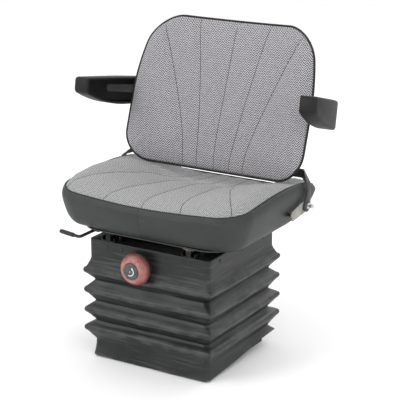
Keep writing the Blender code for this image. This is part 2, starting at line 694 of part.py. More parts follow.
def make_adjuster(frame, knob, crosshead, steel, zinc, red, black):
    axis = (spindle_z, SPINDLE_X)
    seat = -frame_half_y - GAP
    front = bellows_front - COLLAR_DEPTH
    bore = SPINDLE_RADIUS + RUNNING_GAP
    edge = 0.003
    profile = ((COLLAR_RADIUS, seat), (COLLAR_RADIUS, front + edge), (COLLAR_RADIUS - edge, front),
               (bore, front), (bore, seat))
    add("knob_collar", turned("y", axis, profile, 24, True), black, frame)

    rear = front - GAP
    nose = rear - KNOB_DEPTH
    inner = 0.012
    profile = ((bore, rear), (KNOB_RADIUS - 0.004, rear), (KNOB_RADIUS, rear - 0.004),
               (KNOB_RADIUS - 0.001, rear - 0.010), (KNOB_RADIUS * 0.80, nose + 0.006),
               (KNOB_CAP_RADIUS + 0.004, nose), (KNOB_CAP_RADIUS + GAP, nose),
               (KNOB_CAP_RADIUS + GAP, nose + 0.004), (inner, nose + 0.004), (inner, nose + 0.012),
               (bore, nose + 0.012))
    add("knob_grip", turned("y", axis, profile, 28, True), red, knob)
    cap_foot = nose + 0.004 - GAP
    profile = ((KNOB_CAP_RADIUS, cap_foot), (KNOB_CAP_RADIUS, nose - 0.001),
               (KNOB_CAP_RADIUS - 0.002, nose - 0.003), (KNOB_CAP_RADIUS * 0.5, nose - 0.0036))
    add("knob_cap", turned("y", axis, profile, 24), black, knob)
    head = nose + 0.012 - GAP
    profile = ((0.0095, head - 0.006), (0.0095, head), (SPINDLE_RADIUS, head),
               (SPINDLE_RADIUS, SPINDLE_REAR))
    add("adjusting_spindle", turned("y", axis, profile), zinc, knob)

    spring_z = upper_pivot_z
    half = spring_spacing + CROSSHEAD_END
    low, foot = spindle_z - CROSSHEAD_BELOW, spring_z - CROSSHEAD_BELOW
    high = min(spring_z + CROSSHEAD_ABOVE, frame_underside - 0.004)
    outline = ((low, SPINDLE_X - CROSSHEAD_NOSE), (low, SPINDLE_X + CROSSHEAD_NOSE),
               (foot, SPINDLE_X + half), (high, SPINDLE_X + half),
               (high, SPINDLE_X - half), (foot, SPINDLE_X - half))
    bar = add("spring_crosshead", extruded("y", outline, CROSSHEAD_Y, CROSSHEAD_Y + CROSSHEAD_THICK),
              steel, crosshead)
    holes = [rod("y", axis, bore, CROSSHEAD_Y - 0.01, CROSSHEAD_Y + 0.02)]
    for side in (-1, 1):
        holes.append(rod("y", (spring_z, SPINDLE_X + side * spring_spacing), SPRING_WIRE + 2 * GAP,
                         CROSSHEAD_Y - 0.01, CROSSHEAD_Y + 0.02, 10))
    cut(bar, merged(*holes))

    for name, side in SIDES:
        path = spring_path(SPINDLE_X + side * spring_spacing, spring_z)
        add("tension_spring_" + name, tube_along(path, [SPRING_WIRE] * len(path), 4), zinc, frame)


def spring_path(x, z):
    """Hook round the upper axle, coil, and a shank through the crosshead."""
    hook = AXLE_RADIUS + SPRING_WIRE + 2 * GAP
    path = []
    for i in range(7):
        angle = radians(-40 - 200 * i / 6)
        path.append((x, roller_y + hook * sin(angle), z - hook * cos(angle)))
    start = roller_y + hook + 0.006
    end = CROSSHEAD_Y - 0.008
    steps = SPRING_TURNS * 8
    for i in range(steps + 1):
        angle = 2 * pi * i / 8 - pi / 2
        reach = SPRING_RADIUS * min(1.0, i / 4, (steps - i) / 4)
        path.append((x + reach * cos(angle), start + (end - start) * i / steps, z + reach * sin(angle)))
    path.append((x, CROSSHEAD_Y - 0.002, z))
    path.append((x, CROSSHEAD_Y + CROSSHEAD_THICK + 0.006, z))
    return path


# Bellows

def curled(x, y, z):
    """The skirt's rear left corner, curled up and out."""
    droop = 1 - min(z / SKIRT_TOP, 1.0)
    share = smooth(y, bellows_front - 0.015, 0.005 - bellows_front) * droop
    share *= smooth(x, 0, bellows_half_x - 0.015)
    return (x + SKIRT_CURL * share, y + SKIRT_CURL * share * 0.4, z + SKIRT_LIFT * share)


def make_bellows(carrier, rubber):
    """One folded rubber moulding; its wall is measured across."""
    profile = [(-BELLOWS_LIP, lip_top), (0, lip_top), (0, top_panel_foot),
               (FOLD_DEPTH * 0.3, (top_panel_foot + fold_heights[0]) / 2)]
    for ridge, valley in zip(fold_heights[0::2], fold_heights[1::2] + [None]):
        profile += [(FOLD_DEPTH, ridge + FOLD_EDGE), (FOLD_DEPTH, ridge - FOLD_EDGE)]
        if valley:
            profile += [(0, valley + FOLD_EDGE), (0, valley - FOLD_EDGE)]
    profile += [(0, SKIRT_TOP), (SKIRT_FLARE, FLOOR_CLEARANCE)]
    inside = [(out - BELLOWS_WALL, z) for out, z in profile[2:]]
    inside = [(-BELLOWS_LIP, SUSPENSION_HEIGHT + GAP), (-BELLOWS_WALL, SUSPENSION_HEIGHT + GAP)] + inside

    def ring(out, z):
        radius = BELLOWS_CORNER - max(out, -BELLOWS_WALL) * (RIDGE_SHARPNESS if out > 0 else -0.9)
        return [curled(x, y, z) for x, y in rounded_plan(
            bellows_half_x + out, bellows_front - out, -bellows_front + out, radius, radius,
            corner_steps=BOX_CORNER_STEPS, edge_steps=2)]

    rings = [ring(out, z) for out, z in profile] + [ring(out, z) for out, z in reversed(inside)]
    bellows = add("bellows", skin(rings, closed=True), rubber, carrier)
    cut(bellows, rod("y", (spindle_z, SPINDLE_X), COLLAR_RADIUS + 2 * GAP, bellows_front - 0.03,
                     bellows_front + 0.02, 20))


# Slide rails and seat pan

def make_rails(frame, carriage, zinc, black):
    half, sheet, slot, top = RAIL_HALF_WIDTH, RAIL_SHEET, RAIL_SLOT, RAIL_HEIGHT
    lip = top - 0.006
    fixed = [(half, 0), (half, top), (slot, top), (slot, lip), (slot + sheet, lip),
             (slot + sheet, top - sheet), (half - sheet, top - sheet), (half - sheet, sheet)]
    fixed += [(-x, z) for x, z in reversed(fixed)]
    foot = BELLOWS_WALL + 2 * GAP
    side = half - sheet - 0.0015
    neck = slot - 0.0025
    cap = MOVING_RAIL_HEIGHT
    moving = [(side, foot), (side, lip + 0.0025), (side - sheet, lip + 0.0025),
              (side - sheet, foot + sheet), (neck, foot + sheet), (neck, cap - 0.0023), (0.016, cap - 0.0023), (0.016, cap)]
    moving += [(-x, z) for x, z in reversed(moving)]
    for name, sign in SIDES:
        for label, outline, length, carrier in (("fixed_rail_", fixed, FIXED_RAIL_LENGTH, frame),
                                                ("moving_rail_", moving, MOVING_RAIL_LENGTH, carriage)):
            section = [(rail_foot + z, sign * rail_x + x) for x, z in outline]
            add(label + name, extruded("y", section, -length / 2, length / 2), zinc, carrier)

    plan = [(x, y) for x, y in rounded_plan(pan_half_width, PAN_FRONT, PAN_REAR, PAN_CORNER, 0.02,
                                            corner_steps=5, edge_steps=1)]
    pan = add("seat_pan", extruded("z", plan, pan_foot, pan_top), black, carriage)
    for y in LEVER_CLIPS_Y:
        combine(pan, block((lever_x - 0.007, y - 0.006, slide_lever_z - 0.007),
                           (lever_x + 0.007, y + 0.006, pan_foot + PAN_SHEET / 2)), "UNION")
    cut(pan, rod("y", (slide_lever_z, lever_x), LEVER_RADIUS + RUNNING_GAP, min(LEVER_CLIPS_Y) - 0.02,
                 max(LEVER_CLIPS_Y) + 0.02, 10))


# Seat cushion

def hem_z(y):
    return hem_height + HEM_RISE * smooth(y, HEM_RISE_START, SEAT_REAR)


def seam_z(x, y):
    """Height of the seam between the fabric top and the boxing, at the widest outline."""
    front = SEAM_FRONT + 0.008 * min(abs(x) / (SEAT_HALF_WIDTH - SEAM_DROP_HALF), 1.0) ** 2
    corner = smooth(abs(x), SEAT_HALF_WIDTH - 0.116, SEAT_HALF_WIDTH - 0.016)
    share = smooth(y, SEAT_FRONT - 0.016, SEAT_FRONT + 0.054) * corner
    rise = front + (through(SEAM_LINE, y) - front) * max(share, smooth(y, -0.1, 0.0))
    return hem_height + rise


def through(points, y):
    """Height at y on a line through (y, height) points."""
    for (y0, z0), (y1, z1) in zip(points, points[1:]):
        if y <= y1:
            return z0 + (z1 - z0) * max((y - y0) / (y1 - y0), 0.0)
    return points[-1][1]


def top_z(x, y, inset, edge):
    """Height of the fabric: rolled edge, raised sides and a middle that dips towards the back."""
    rear = smooth(y, 0.02, 0.12)
    side = smooth(abs(x), SEAT_HALF_WIDTH - BOLSTER_FOOT + 0.07 * rear,
                  SEAT_HALF_WIDTH - BOLSTER_TOP + 0.04 * rear)
    full = hem_height + through(SIDE_LINE, y) * side + through(MIDDLE_LINE, y) * (1 - side)
    return edge + (full - edge) * sin(min(inset / ROLL_WIDTH, 1.0) * pi / 2)


def seat_ring(inset, corner_steps=5, edge_steps=4):
    return rounded_plan(SEAT_HALF_WIDTH, SEAT_FRONT, SEAT_REAR, SEAT_CORNER_FRONT, SEAT_CORNER_REAR,
                        inset, SEAT_FRONT_BOW * max(1 - inset / 0.2, 0), corner_steps, edge_steps)


# Boxing from hem to seam: inset from the widest outline, share of the height, and how far the
# inside lies inwards and upwards of it, in wall thicknesses
BAND_SHAPE = ((BAND_TUCK, 0.0, 0.0, 0.65), (0.030, 0.05, 0.5, 0.65), (0.016, 0.22, 1.0, 0.25),
              (0.006, 0.50, 1.0, 0.0), (0.0, 0.80, 1.0, 0.0), (BAND_SEAM_INSET, 1.0, 1.0, 0.0))


def band_ring(inset, share, lift):
    """Ring at a share of the boxing's height, which is taken at the widest outline."""
    return [(x, y, hem_z(wide_y) + (seam_z(wide_x, wide_y) - hem_z(wide_y)) * share + lift)
            for (x, y), (wide_x, wide_y) in zip(seat_ring(inset), seat_ring(0))]


def make_cushion(carriage, fabric, vinyl):
    outside, inside, foam = [], [], []
    clear = 3 * GAP
    for inset, share, across, up in BAND_SHAPE:
        outside.append(band_ring(inset, share, 0))
        inside.append(band_ring(inset + BAND_WALL * across, share, BAND_WALL * up))
        rise = BAND_WALL * up + (clear if up else 0)
        foam.append(band_ring(inset + (BAND_WALL + clear) * across, share, rise))
    band = add("cushion_band", skin(outside + list(reversed(inside)), closed=True), vinyl, carriage)

    floor = BAND_WALL * BAND_SHAPE[0][3] + clear
    rings = [band_ring(inset, 0, floor) for inset in (0.165, 0.095)] + foam
    edge = BAND_SEAM_INSET + BAND_WALL + clear
    for step in (0.005, 0.013, ROLL_WIDTH, 0.050, 0.085, 0.125, 0.165, 0.200):
        rings.append([(x, y, top_z(x, y, step, seam_z(*wide)))
                      for (x, y), wide in zip(seat_ring(edge + step), seat_ring(0))])
    foam = add("seat_cushion", skin(rings), fabric, carriage)
    for _, side in SIDES:
        cut(foam, leg_slot(side, 2 * GAP, recliner_x, hem_height - 0.010))
        near, far = sorted((side * (bracket_leg_x + 0.01), side * (recliner_x + 0.01)))
        low = BRACKET_FRONT_Y - BRACKET_LEG_HALF - 2 * GAP
        high = BRACKET_FRONT_Y + BRACKET_LEG_HALF + 2 * GAP
        cut(band, block((near, low, bracket_front_z - RECLINER_SHEET - 2 * GAP),
                        (far, high, bracket_front_z + 2 * GAP)))


# Backrest

def back_half_width(v):
    return back_half - BACK_TAPER * max(v - BACK_WIDEST, 0) ** 2


def back_outline(inset=0.0, corner_steps=5, edge_steps=4):
    """Outline across X and up the backrest's slope."""
    points = rounded_plan(back_half, BACK_LOW, BACK_HEIGHT, BACK_CORNER_FOOT, BACK_CORNER_TOP,
                          inset, 0.0, corner_steps, edge_steps)
    return [(x * back_half_width(v) / back_half, v) for x, v in points]


def wrap(x):
    return BACK_WRAP * (abs(x) / back_half) ** 2.2


def back_point(x, v, w):
    """Point from across, up the slope, and out of the front plane, with the sides wrapped."""
    return Vector((x, 0, 0)) + back_foot + back_up * v + back_out * (w + wrap(x))


def shell_depth(x):
    return SHELL_EDGE + SHELL_BULGE * (1 - (x / back_half) ** 2)


def make_backrest(carrier, fabric, plastic, vinyl):
    half_pipe = PIPING_RADIUS
    edge = half_pipe + GAP
    rings = []
    for inset, height in ((0.150, 0.0), (0.040, 0.0), (edge, 0.0), (edge, 0.002),
                          (edge + 0.006, 0.008), (0.032, 0.012), (0.075, 0.014), (0.120, 0.015),
                          (0.170, 0.015)):
        rings.append([back_point(x, v, height) for x, v in back_outline(inset)])
    add("backrest_cushion", skin(rings), fabric, carrier)

    pipe = []
    for k in range(6):
        angle = 2 * pi * k / 6
        pipe.append([back_point(x, v, half_pipe * sin(angle))
                     for x, v in back_outline(-half_pipe * cos(angle) * 0.98)])
    add("backrest_piping", skin(pipe, closed=True), vinyl, carrier)

    rim = shell_rim
    outer, inner = [], []
    for inset, share in SHELL_SHAPE:
        for rings, step, lift in ((outer, 0, 0), (inner, SHELL_WALL, SHELL_WALL)):
            rings.append([back_point(x, v, lift - rim - (shell_depth(x) - rim) * share * foot_taper(v))
                          for x, v in back_outline(inset + step)])
    outer.insert(0, [back_point(x, v, -rim) for x, v in back_outline(0.001)])
    inner.insert(0, [back_point(x, v, -rim) for x, v in back_outline(0.001 + SHELL_WALL)])
    add("backrest_shell", skin(list(reversed(inner)) + outer, even_caps=True), plastic, carrier)


def foot_taper(v):
    """The shell is thin along its lower edge, so that it clears the cushion when reclined."""
    return 0.35 + 0.65 * smooth(v, 0.0, 0.075)


# Recliner, armrests and slide lever

def leg_slot(side, clear, outer, foot):
    """A bracket's leg, grown by a clearance: in from the side, then down to the pan."""
    top = bracket_front_z + clear
    under = bracket_front_z - RECLINER_SHEET - clear
    near, far = bracket_leg_x - clear, bracket_leg_x + RECLINER_SHEET + clear
    outline = [(foot, near), (top, near), (top, outer), (under, outer), (under, far), (foot, far)]
    return extruded("y", [(z, side * x) for z, x in outline],
                    BRACKET_FRONT_Y - BRACKET_LEG_HALF - clear, BRACKET_FRONT_Y + BRACKET_LEG_HALF + clear)


def make_recliner(carriage, back, zinc, black):
    """Brackets that stand on the pan and come out through the boxing, and the hinge arms."""
    axis = (RECLINE_Y, recline_z)
    strap_top = STRAP_V + STRAP_HALF
    share = through(SHELL_SHAPE, strap_top - BACK_LOW) * foot_taper(strap_top)
    strap_depth = (wrap(strap_inner_x) - shell_rim - GAP
                   - (shell_depth(strap_inner_x) - shell_rim) * share)
    for name, side in SIDES:
        near, far = sorted((side * recliner_x, side * (recliner_x + RECLINER_SHEET)))
        outline = link_outline((BRACKET_FRONT_Y, bracket_front_z), 0.013, axis, HINGE_EYE_RADIUS)
        bracket = add("recliner_bracket_" + name, extruded("x", outline, near, far), zinc, carriage)
        combine(bracket, leg_slot(side, 0, recliner_x + RECLINER_SHEET / 2, pan_top + GAP), "UNION")
        foot = sorted((side * bracket_foot_x, side * (bracket_leg_x + RECLINER_SHEET)))
        combine(bracket, block((foot[0], BRACKET_FRONT_Y - BRACKET_LEG_HALF, pan_top + GAP),
                               (foot[1], BRACKET_FRONT_Y + BRACKET_LEG_HALF,
                                pan_top + GAP + RECLINER_SHEET)), "UNION")
        holes = [rod("x", axis, RECLINE_PIN_RADIUS + RUNNING_GAP, near - 0.01, far + 0.01)]
        if side < 0:
            holes.append(rod("x", (BRACKET_FRONT_Y, lever_z), AXLE_RADIUS + RUNNING_GAP,
                             near - 0.002, far + 0.01, 12))
        cut(bracket, merged(*holes))

        near, far = sorted((side * arm_plate_x, side * (arm_plate_x + HINGE_ARM_SHEET)))
        shoulder = (axis[0] + ARM_LEAN, arm_bend_z - ARM_BEND_LENGTH + 0.002)
        outline = link_outline(axis, HINGE_EYE_RADIUS, shoulder, ARM_HALF)
        arm = add("hinge_arm_" + name, extruded("x", outline, near, far), black if side > 0 else zinc, back)
        inner, outer = arm_plate_x, arm_plate_x + HINGE_ARM_SHEET
        bend_y = axis[0] + ARM_LEAN
        stations = []
        for z in (arm_bend_z - ARM_BEND_LENGTH, arm_bend_z):
            stations.append([(outer, bend_y - ARM_HALF, z), (outer, bend_y + ARM_HALF, z),
                             (inner, bend_y + ARM_HALF, z), (inner, bend_y - ARM_HALF, z)])
        for x in (strap_outer_x, strap_inner_x):
            stations.append([Vector((x, 0, 0)) + back_foot + back_up * (STRAP_V + v)
                             + back_out * (strap_depth - w)
                             for v, w in ((STRAP_HALF, 0), (STRAP_HALF, HINGE_ARM_SHEET),
                                          (-STRAP_HALF, HINGE_ARM_SHEET), (-STRAP_HALF, 0))])
        combine(arm, skin([[(side * x, y, z) for x, y, z in ring] for ring in stations]), "UNION")
        cut(arm, rod("x", axis, RECLINE_PIN_RADIUS + RUNNING_GAP, near - 0.01, far + 0.01))

        reach = (recliner_x - GAP, arm_plate_x + HINGE_ARM_SHEET + GAP)
        big = RECLINE_PIN_RADIUS + 0.0030
        stem = reach[1] + 0.0025
        profile = ((big, reach[0] - 0.0015), (big, reach[0]), (RECLINE_PIN_RADIUS, reach[0]),
                   (RECLINE_PIN_RADIUS, reach[1]), (big, reach[1]), (big, stem), (0.003, stem),
                   (0.003, stem + 0.005), (0.0048, stem + 0.006), (0.0058, stem + 0.009),
                   (0.0048, stem + 0.013))
        add("recline_bolt_" + name, turned("x", axis, [(r, side * x) for r, x in profile], 12),
            zinc, carriage)


def make_recline_lever(carrier, zinc):
    """Hand lever outside the right bracket, on its own pin; it lifts at its front end."""
    pivot = (BRACKET_FRONT_Y, lever_z)
    inner = -(arm_plate_x + HINGE_ARM_SHEET + 2 * GAP)
    outer = inner - RECLINER_SHEET
    tip = (pivot[0] - RECLINE_LEVER_LENGTH, pivot[1] + RECLINE_LEVER_RISE)
    outline = link_outline(pivot, RECLINE_LEVER_EYE, tip, RECLINE_LEVER_TIP)
    lever = add("recline_lever", extruded("x", outline, outer, inner), zinc, carrier)
    profile = ((AXLE_RADIUS, outer + 0.001), (AXLE_RADIUS, -recliner_x + GAP))
    combine(lever, turned("x", pivot, profile, 12), "UNION")


def armrest_frame(name, side):
    """Matrix from the armrest's own axes (along, outward, up) to the seat's."""
    splay, pitch = radians(ARMREST_SPLAY[name]), radians(ARMREST_PITCH[name])
    along = Vector((side * sin(splay) * cos(pitch), -cos(splay) * cos(pitch), sin(pitch)))
    outward = Vector((side * cos(splay), sin(splay), 0))
    up = along.cross(outward) * side
    matrix = Matrix((along, outward, up)).transposed().to_4x4()
    place = Vector((side * (armrest_lug_x + HINGE_ARM_SHEET + ARMREST_OFFSET),
                    armrest_pivot.y, armrest_pivot.z))
    return Matrix.Translation(place) @ matrix


def armrest_low(a):
    """Height of the pad's underside, which sweeps up to the nose."""
    share = max(0.0, (a - ARMREST_SWEEP) / (ARMREST_REACH - ARMREST_SWEEP)) ** 2.2
    return -ARMREST_BELOW + (ARMREST_ABOVE - ARMREST_NOSE + ARMREST_BELOW) * share


def armrest_outer(a):
    """Width of the pad in plan: it narrows towards its hinge."""
    share = min(1.0, (a + ARMREST_TAIL) / (ARMREST_TAPER_END + ARMREST_TAIL))
    return ARMREST_TAIL_WIDTH + (ARMREST_WIDTH - ARMREST_TAIL_WIDTH) * sin(share * pi / 2)


def armrest_ring(a, shrink, inner):
    """Section of the pad across its length, a rounded oblong from its inner to its outer face."""
    low, high = armrest_low(a) + shrink, ARMREST_ABOVE - shrink
    outer = armrest_outer(a) - shrink
    corner = min(0.006, (outer - inner) * 0.4)
    points = []
    for o, h, first in ((outer - corner, high - corner, 0), (inner + 0.002, high - 0.002, pi / 2),
                        (inner + 0.002, low + 0.002, pi), (outer - corner, low + corner, 1.5 * pi)):
        radius = 0.002 if o < inner + 0.003 else corner
        for i in range(3):
            angle = first + i * pi / 4
            points.append((a, o + radius * cos(angle), h + radius * sin(angle)))
    return points


def make_armrests(back, carriers, black, steel, zinc):
    for name, side in SIDES:
        matrix = armrest_frame(name, side)
        nose = ARMREST_REACH
        stations = [(-ARMREST_TAIL, 0.003), (-ARMREST_TAIL + 0.003, 0.0)]
        stations += [(nose * i / 9, 0.0) for i in range(9)]
        stations += [(nose - 0.008, 0.0), (nose - 0.003, 0.002), (nose, 0.007)]
        rings = [armrest_ring(a, shrink, shrink * 0.7) for a, shrink in stations]
        pad = add("armrest_pad_" + name, moved(skin(rings), matrix), black, carriers[name])
        pocket = []
        first, last = -ARMREST_EYE_RADIUS - GAP, nose - ARMREST_WALL * 1.5
        for i in range(8):
            a = first + (last - first) * i / 7
            pocket.append(armrest_ring(a, ARMREST_WALL, -0.010))
        cut(pad, moved(skin(pocket), matrix))

        bar = link_outline((0, 0), ARMREST_EYE_RADIUS, (ARMREST_BAR, 0.006), 0.009)
        strip = extruded("y", [(h, a) for a, h in bar], 0.0034, 0.0084)
        insert = add("armrest_bar_" + name, moved(strip, matrix), steel, carriers[name])
        face = armrest_lug_x + HINGE_ARM_SHEET
        cut(insert, rod("x", (armrest_pivot.y, armrest_pivot.z), ARMREST_BOLT_RADIUS + 0.0009,
                        side * face, side * (face + 0.03), 12))

        low, high = sorted((side * armrest_lug_x, side * face))
        depth = -(shell_depth(armrest_strap_x) - wrap(armrest_strap_x)) - 2 * GAP
        behind = back_foot + back_up * ARMREST_V + back_out * (depth - EAR_SHEET)
        outline = link_outline((armrest_pivot.y, armrest_pivot.z), ARMREST_LUG_RADIUS,
                               (behind.y, behind.z), ARMREST_STRAP_HALF + 0.001)
        lug = add("armrest_bracket_" + name, extruded("x", outline, low, high), steel, back)
        strap = []
        for x in (side * armrest_strap_x, side * (face - 0.001)):
            strap.append([Vector((x, 0, 0)) + back_foot + back_up * (ARMREST_V + v) + back_out * w
                          for v, w in ((-ARMREST_STRAP_HALF, depth - EAR_SHEET),
                                       (ARMREST_STRAP_HALF, depth - EAR_SHEET),
                                       (ARMREST_STRAP_HALF, depth), (-ARMREST_STRAP_HALF, depth))])
        combine(lug, skin(strap), "UNION")
        cut(lug, rod("x", (armrest_pivot.y, armrest_pivot.z), ARMREST_BOLT_RADIUS + RUNNING_GAP,
                     side * (armrest_lug_x - 0.01), side * (face + 0.01), 12))
        big = ARMREST_BOLT_RADIUS + 0.003
        start = face + GAP
        profile = ((big, armrest_lug_x - GAP - 0.003), (big, armrest_lug_x - GAP),
                   (ARMREST_BOLT_RADIUS, armrest_lug_x - GAP), (ARMREST_BOLT_RADIUS, start),
                   (big, start), (big, start + ARMREST_OFFSET - 0.0012),
                   (ARMREST_BOLT_RADIUS, start + ARMREST_OFFSET - 0.0012),
                   (ARMREST_BOLT_RADIUS, start + ARMREST_OFFSET + 0.0072))
        add("armrest_bolt_" + name, turned("x", (armrest_pivot.y, armrest_pivot.z),
                                           [(r, side * x) for r, x in profile], 12), zinc, back)


def make_slide_lever(carrier, black):
    """Bent rod that turns in the pan's clips: finger at the rail, grip at the front corner."""
    finger = (-(rail_x + RAIL_HALF_WIDTH + 3 * GAP), LEVER_REAR, slide_lever_z)
    start = (lever_x, LEVER_REAR, slide_lever_z)
    bend = (lever_x, LEVER_BEND_Y, slide_lever_z)
    tip = (lever_x - LEVER_REACH, LEVER_BEND_Y, slide_lever_z + LEVER_LIFT)
    grip = between(bend, tip, 0.30)
    path = rounded_path((finger, start, bend, grip), 0.010)
    radii = [LEVER_RADIUS] * len(path)
    for share, radius in ((0.305, LEVER_GRIP_RADIUS), (0.95, LEVER_GRIP_RADIUS),
                          (1.0, LEVER_GRIP_RADIUS * 0.7)):
        path.append(Vector(between(bend, tip, share)))
        radii.append(radius)
    add("slide_lever", tube_along(path, radii), black, carrier)


def build():
    clear_scene()
    steel = finish("black_steel", (0.030, 0.030, 0.032), 0.45, 0.6)
    zinc = finish("zinc_plate", (0.62, 0.62, 0.58), 0.35, 1.0)
    rubber = finish("bellows_rubber", (0.045, 0.047, 0.046), 0.55)
    nylon = finish("roller_nylon", (0.55, 0.54, 0.50), 0.50)
    plastic = finish("black_plastic", (0.020, 0.020, 0.021), 0.50)
    vinyl = finish("boxing_vinyl", (0.075, 0.080, 0.078), 0.55)
    fabric = finish("woven_fabric", (0.290, 0.285, 0.300), 0.90)
    red = finish("knob_red", (0.450, 0.120, 0.100), 0.45)

    base = body("body_base", (0, 0, 0))
    top = body("body_top_frame", (0, 0, SUSPENSION_HEIGHT), base)
    outer = body("body_outer_arms", (0, pivot_y, lower_pivot_z), base)
    centre = between((0, pivot_y, lower_pivot_z), (0, roller_y, upper_pivot_z), 0.5)
    inner = body("body_inner_arms", centre, outer)
    upper_wheels = body("body_upper_rollers", (0, roller_y, upper_pivot_z), outer)
    lower_wheels = body("body_lower_rollers", (0, roller_y, lower_pivot_z), inner)
    knob = body("body_weight_knob", (SPINDLE_X, bellows_front, spindle_z), top)
    crosshead = body("body_crosshead", (SPINDLE_X, CROSSHEAD_Y, spindle_z), top)
    carriage = body("body_carriage", (0, 0, rail_foot), top)
    back = body("body_backrest", (0, RECLINE_Y, recline_z), carriage)
    recline = body("body_recline_lever", (-recliner_x, BRACKET_FRONT_Y, lever_z), carriage)
    slide = body("body_slide_lever", (lever_x, 0, slide_lever_z), carriage)
    arms = {name: body("body_armrest_" + name,
                       (side * armrest_lug_x, armrest_pivot.y, armrest_pivot.z), back)
            for name, side in SIDES}

    plate = make_base(base, steel, zinc)
    frame = make_top_frame(top, steel, zinc)
    make_damper(plate, frame, base, top, steel, zinc)
    make_scissor(outer, inner, upper_wheels, lower_wheels, steel, zinc, nylon)
    make_adjuster(top, knob, crosshead, steel, zinc, red, plastic)
    make_bellows(top, rubber)
    make_rails(top, carriage, zinc, steel)
    make_cushion(carriage, fabric, vinyl)
    make_backrest(back, fabric, plastic, vinyl)
    make_recliner(carriage, back, zinc, steel)
    make_recline_lever(recline, zinc)
    make_armrests(back, arms, plastic, steel, zinc)
    make_slide_lever(slide, steel)


build()
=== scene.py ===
"""Looks of the tractor seat: cloth, vinyl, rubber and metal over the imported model.

Metres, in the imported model's frame: +Z up, the sitter faces -Y, and +X is the sitter's left.
"""
from math import atan2, cos, exp, pi, radians, sin

import bmesh
import bpy
import numpy as np
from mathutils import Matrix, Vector, noise
from mathutils.bvhtree import BVHTree


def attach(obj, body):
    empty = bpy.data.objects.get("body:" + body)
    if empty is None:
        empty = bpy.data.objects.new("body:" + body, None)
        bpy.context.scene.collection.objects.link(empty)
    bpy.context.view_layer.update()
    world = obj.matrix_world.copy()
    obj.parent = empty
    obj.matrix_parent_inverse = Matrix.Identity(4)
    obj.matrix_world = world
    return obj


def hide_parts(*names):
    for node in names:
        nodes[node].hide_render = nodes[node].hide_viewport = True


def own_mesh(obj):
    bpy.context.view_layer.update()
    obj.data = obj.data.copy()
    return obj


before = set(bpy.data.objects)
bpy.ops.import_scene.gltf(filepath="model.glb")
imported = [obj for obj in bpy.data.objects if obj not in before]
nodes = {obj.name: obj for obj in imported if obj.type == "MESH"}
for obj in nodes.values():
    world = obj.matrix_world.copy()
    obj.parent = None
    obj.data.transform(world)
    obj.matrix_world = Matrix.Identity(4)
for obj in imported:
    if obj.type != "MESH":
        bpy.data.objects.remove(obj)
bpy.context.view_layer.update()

# Camera
CAMERA_AZIMUTH = radians(31.25)
CAMERA_ELEVATION = radians(17.04)
CAMERA_DISTANCE = 3.456
CAMERA_TARGET = Vector((0.038, 0.020, 0.3946))
CAMERA_LENS = 126.0

# Studio: each lamp's name, place, power and width
LAMPS = (("key", (-1.6, -2.6, 2.6), 46, 1.6), ("fill", (2.8, -1.6, 1.6), 22, 2.2),
         ("rear", (0.6, 2.6, 2.2), 26, 2.0))
LAMP_TARGET = Vector((0, 0, 0.4))
SOFT_LIGHT = 1.04
FLOOR_HALF = 6.0
FLOOR_DROP = 0.0005         # below the base, so that the two don't share a plane

# Outlines in plan
CORNER_STEPS = 24
EDGE_STEPS = 42

# Seat
SEAT_HALF_WIDTH = 0.266
SEAT_FRONT = -0.184
SEAT_REAR = 0.262
SEAT_CORNER_FRONT = 0.070
SEAT_CORNER_REAR = 0.085
SEAT_FRONT_BOW = 0.020
BAND_WALL = 0.004
HEM_HEIGHT = 0.3368
HEM_RISE = 0.034
HEM_RISE_START = 0.100
SEAM_FRONT = 0.4235
SEAM_CORNER_RISE = 0.008    # of the front seam, from the middle to its corners
SEAM_CORNER_X = 0.226
# Heights from front to rear: seam at the sides, fabric along the raised sides and down the middle
SEAM_LINE = ((-0.16, 0.433), (-0.05, 0.443), (0.03, 0.448), (0.10, 0.446), (0.157, 0.440),
             (0.20, 0.430), (0.25, 0.400), (0.262, 0.392))
SIDE_LINE = ((-0.16, 0.448), (-0.11, 0.459), (-0.05, 0.463), (0.02, 0.460), (0.07, 0.450),
             (0.12, 0.437), (0.16, 0.433), (0.20, 0.432), (0.25, 0.412))
MIDDLE_LINE = ((-0.18, 0.438), (-0.13, 0.440), (-0.05, 0.434), (0.05, 0.424), (0.11, 0.411),
               (0.15, 0.400), (0.20, 0.390), (0.25, 0.385))
REAR_CROWN = 0.007          # rise of the fabric's middle behind the backrest's foot
REAR_CROWN_HALF = 0.13
ROLL_WIDTH = 0.027          # rolled edge of the fabric, from its seam
COVER_RIM = 0.0104          # cover's edge, from the boxing's widest outline
# Cover below its seam: inset, and drop below the seam; then its roll: steps inwards from the seam
COVER_FOOT = ((0.060, 0.030), (0.020, 0.030), (COVER_RIM + 0.0010, 0.028), (COVER_RIM + 0.0005, 0.012),
              (COVER_RIM, 0.002))
COVER_ROLL = (0.0004, 0.0018, 0.004, 0.0075, 0.012, 0.017, 0.022, ROLL_WIDTH, 0.034)
EDGE_SEAM_INSET = 0.0102
EDGE_SEAM_RADIUS = 0.0013
HEM_INSET = 0.0480
HEM_RADIUS = 0.0019
HEM_LIP = 0.0026            # how far the boxing's inside ends above its hem
STITCH_RADIUS = 0.00045
STITCH_LENGTH = 0.0030
STITCH_PITCH = 0.0050
STITCHES_BESIDE = 0.0058    # from the upright seam to each row beside it
EDGE_STITCH_LENGTH = 0.0032
EDGE_STITCH_PITCH = 0.0055
JOINT_RADIUS = 0.0008
